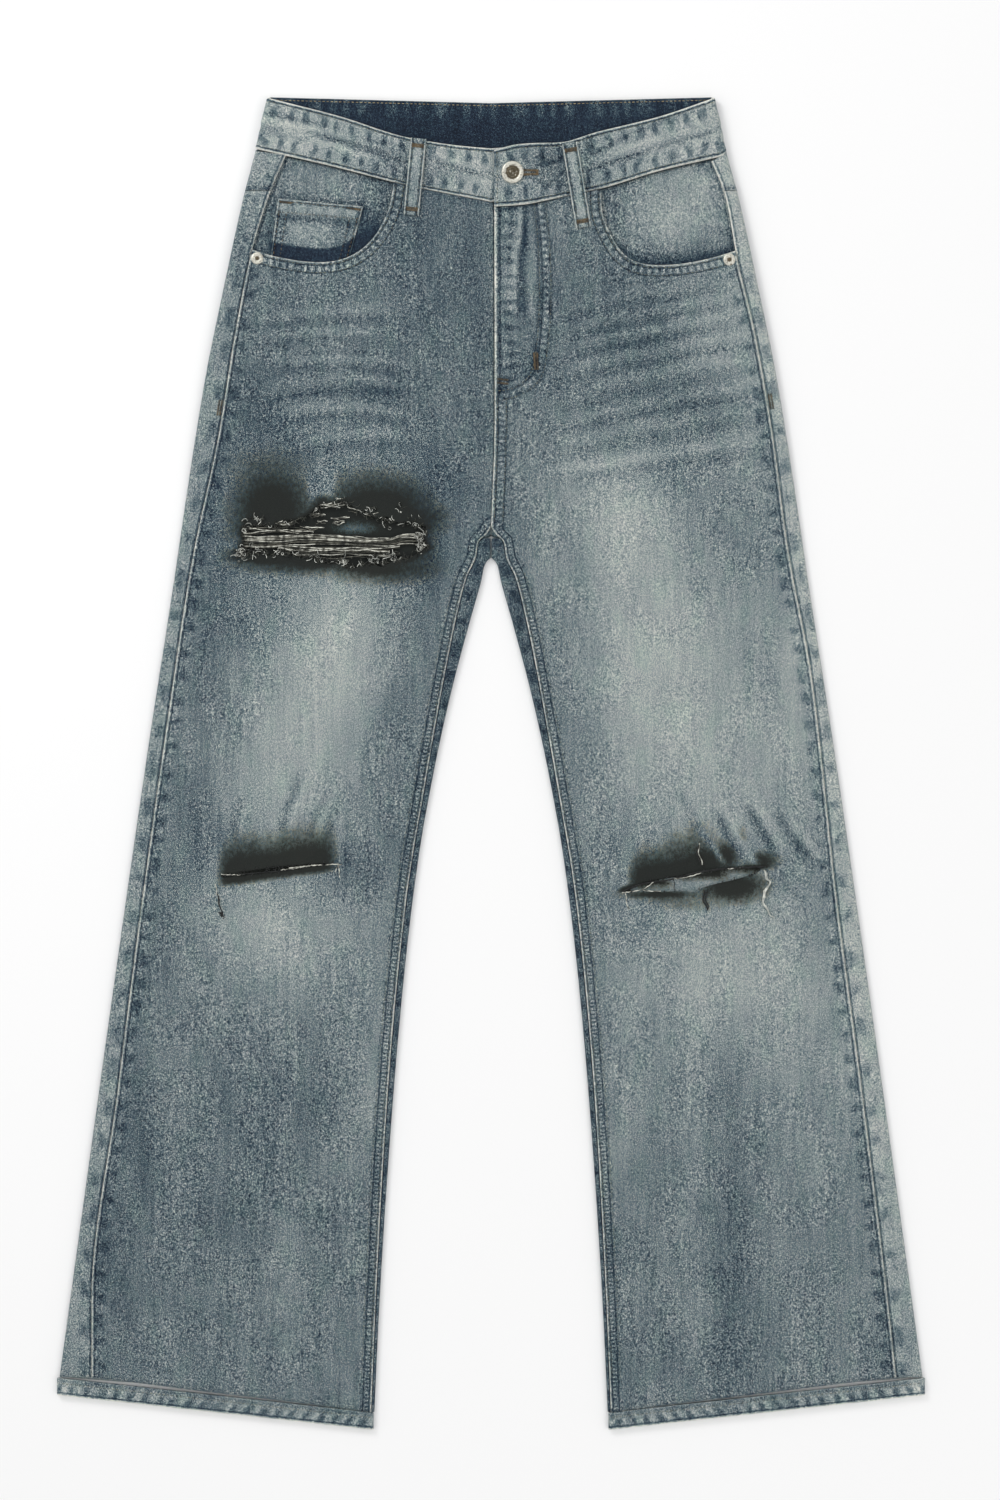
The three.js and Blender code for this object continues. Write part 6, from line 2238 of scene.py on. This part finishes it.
TUFTS = [
    # middle, spread each way, how many curls, which way they point
    (-197.5, 165.5, 3.0, 3.4, 42, None), (-184, 192, 3.5, 2.0, 14, 1.2),
    (-139, 163.5, 4.0, 2.4, 20, None), (-116, 160.5, 5.0, 2.6, 30, None),
    (-92, 160.5, 6.0, 2.6, 28, None), (-76, 164, 4.0, 3.0, 20, None), (-168, 168, 3.5, 2.0, 10, None),
    (-154, 166, 2.6, 1.6, 8, None), (-97, 201.5, 4.0, 2.0, 16, 0.2), (-57, 178, 3.0, 7.0, 46, 0.0),
    (-60, 191, 3.5, 3.0, 14, 1.4), (-82, 190, 1.6, 4.0, 10, 1.5), (-56, 171, 3.2, 2.4, 22, 0.2),
    (-120, 206.5, 4.0, 1.6, 12, 0.3), (-72, 200, 1.4, 3.0, 8, 1.6), (-194, 186, 1.5, 5.0, 10, 1.5),
    (-186, 168, 6.0, 2.6, 22, None),
]
pale_curls = []
for x, y, spread_x, spread_y, count, heading in TUFTS:
    for _ in range(count):
        way = draw.uniform(0, 2 * math.pi) if heading is None else heading + draw.normal(0, 0.5)
        place = (x + draw.normal(0, 0.6 * spread_x), y + draw.normal(0, 0.6 * spread_y))
        pale_curls.append(curl(*place, way, draw.uniform(3.0, 7.0), draw.normal(0, 4.0), 3.7))
edge_curls = frayed_edge(THIGH_RIP, 460, 3.2)
all_curls = pale_curls + edge_curls
pale_curls = pale_curls[::2] + pale_curls[1::4] + edge_curls[::5]
# the dark curls are partly dark yarn ends and partly put in as painted shade among the tufts
dark_curls = [line for k, line in enumerate(all_curls) if k % 3]
yarns("pale_fray", pale_curls, 0.5, WHITE_THREAD)
yarns("dark_fray", dark_curls, 0.5, DIM_YARN)

# %% [markdown]
# The knee slits are cut along the weft, so they fray little: a fringe as short as lint, one pale
# yarn drawn along the lip, and a few that hang down from the ends.

# %% Yarns at the knees
def along_edge(points, z, jitter=0.5):
    """A drawn yarn that follows points and wavers between them."""
    line = sampled(points, 1.2)
    line = line + draw.normal(0, jitter * 0.35, line.shape)
    z_line = z + 0.35 * np.sin(np.arange(len(line)) * 0.6)
    return np.column_stack([line, z_line])


def hanging(points, z=4.4):
    line = sampled(points, 1.0)
    wave = 0.45 * np.sin(np.arange(len(line)) * 0.55)
    return np.column_stack([line[:, 0] + wave, line[:, 1], np.full(len(line), z)])


knee_pale = [
    along_edge([(-213, -87.5), (-204, -88), (-196, -87.6)], 4.4),
    along_edge([(-166, -84), (-150, -82), (-142, -80.4), (-124, -79.6), (-118, -79.6)], 4.8),
    along_edge([(-160, -82.6), (-148, -81), (-138, -80.2)], 4.9),
    hanging([(-218, -95), (-217, -99), (-216, -104)]),
    hanging([(-121.5, -79.5), (-120, -84), (-119, -90)]),
    hanging([(-118, -79.5), (-122, -81), (-122.5, -86)]),
    along_edge([(103.5, -102), (112, -101), (119.5, -99.8), (124, -97), (128, -93.5)], 4.8),
    along_edge([(119.5, -99.8), (125, -101), (134, -100.6)], 4.8),
    along_edge([(143, -91), (155, -89.8), (162, -87.6), (166, -86)], 4.8),
    along_edge([(187, -83), (194, -82.6), (200, -81.6)], 4.6),
    hanging([(106, -102.5), (107, -109), (109, -115)]),
    hanging([(164.7, -63), (163.4, -69), (165.4, -74), (166.7, -80)], 5.2),
]
knee_bright = [
    hanging([(215.7, -84), (217, -91.6), (221.2, -92.3), (219.8, -95), (216.4, -99.8), (215.7, -105.3),
             (214.4, -110), (217.8, -114.8), (219.8, -119.5), (222.5, -121)]),
    hanging([(216.6, -85), (217.8, -91), (221.6, -93.2), (219.2, -96), (216.9, -100), (216.2, -106)]),
    hanging([(215.2, -100), (214.8, -106), (215.4, -111), (218.4, -115.4), (220.6, -120),
             (223.5, -121.6)], 4.8),
]
knee_dark = [
    hanging([(-216, -103), (-215.4, -109), (-213.6, -114), (-212.4, -119)]),
    hanging([(-215.6, -104), (-214.6, -110), (-213, -115), (-211.8, -120)]),
    hanging([(143.6, -91), (144.6, -95), (145, -99)]),
    hanging([(163.6, -64), (162.4, -70), (164.2, -76), (165.4, -81)], 5.1),
    # two dark yarns along the slits: painted shadow in the closed right slit and under the left slit's upper
    # lip
    along_edge([(-213, -89), (-190, -86.8), (-165, -84.6), (-140, -81.6)], 4.3),
    along_edge([(104, -101), (116, -95), (139, -92), (152.5, -88.6), (163.5, -85.2), (182.5, -82.5),
                (217, -81)], 5.0, 0.3),
    along_edge([(104, -101), (116, -95.4), (139, -92.6), (152.5, -89.2), (163.5, -86), (182.5, -83.2),
                (217, -81.6)], 4.7, 0.3),
]
for k in range(5):
    side_step = draw.normal(0, 0.7)
    path = [(169 + side_step, -100), (167.4 + side_step, -107), (170 + side_step, -112), (170.5, -116)]
    knee_dark.append(hanging(path, 4.6 + 0.1 * k))
for k in range(10):
    place = (-212.4 + draw.normal(0, 0.8), -119.5 + draw.normal(0, 0.6))
    knee_dark.append(curl(*place, draw.uniform(0, 6.3), 2.6, draw.normal(0, 3), 4.3))
for line, slit in ((LEFT_KNEE_SLIT, 34), (RIGHT_KNEE_SLIT, 40)):
    knee_dark.extend(frayed_edge(line, slit, 1.2, 4.0))
BLACK_YARN = thread_finish("black_yarn", (40, 42, 42), (18, 20, 20))
yarns("pale_knee_yarns", knee_pale, 0.75, ECRU_THREAD)
yarns("hanging_knee_yarns", knee_bright, 1.2, WHITE_THREAD)
yarns("dark_knee_yarns", knee_dark, 0.7, BLACK_YARN)

# %% [markdown]
# Last, each piece is hung on the root, the part of the imported model that it stands for is
# hidden, and each piece of cloth states the size it was cut to.

# %% Riding and replacing
STANDS_FOR = {
    "waistband_cloth": ("waistband", "band_denim"),
    "back_loop": ("belt_loop_back", "band_denim"),
    "coin_pocket_cloth": ("coin_pocket", "facing_denim"),
    "jeans_button": ("button", "metal"),
}
SIDE_PIECES = {
    "front_panel_{}": ("front_{}", "denim"),
    "back_panel_{}": ("back_{}", "denim"),
    "yoke_{}_cloth": ("yoke_{}", "denim"),
    "back_pocket_{}_cloth": ("back_pocket_{}", "denim"),
    "pocket_facing_{}_cloth": ("pocket_facing_{}", "facing_denim"),
    "front_loop_{}": ("belt_loop_front_{}", "band_denim"),
    "side_loop_{}": ("belt_loop_side_{}", "band_denim"),
    "hem_{}_cloth": ("hem_{}", "band_denim"),
    "pocket_rivet_{}": ("rivet_{}", "metal"),
}
for side in SIDES:
    for name, (node, slot) in SIDE_PIECES.items():
        STANDS_FOR[name.format(side)] = (node.format(side), slot)
for name, piece in made_pieces.items():
    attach(piece, "root")
    if name in STANDS_FOR:
        node, slot = STANDS_FOR[name]
        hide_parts(node)
    else:
        slot = "denim"
print("nodes replaced:", len(STANDS_FOR))

# %% [markdown]
# How each piece of cloth is cut is printed here. The sizes were measured on each grid as it was
# made.

# %% The cut of each piece of cloth
for name, (width, length, area) in cut_sizes.items():
    print(name, "cut", round(width), "x", round(length), "mm, area", round(area * 1e-6, 4), "m2")
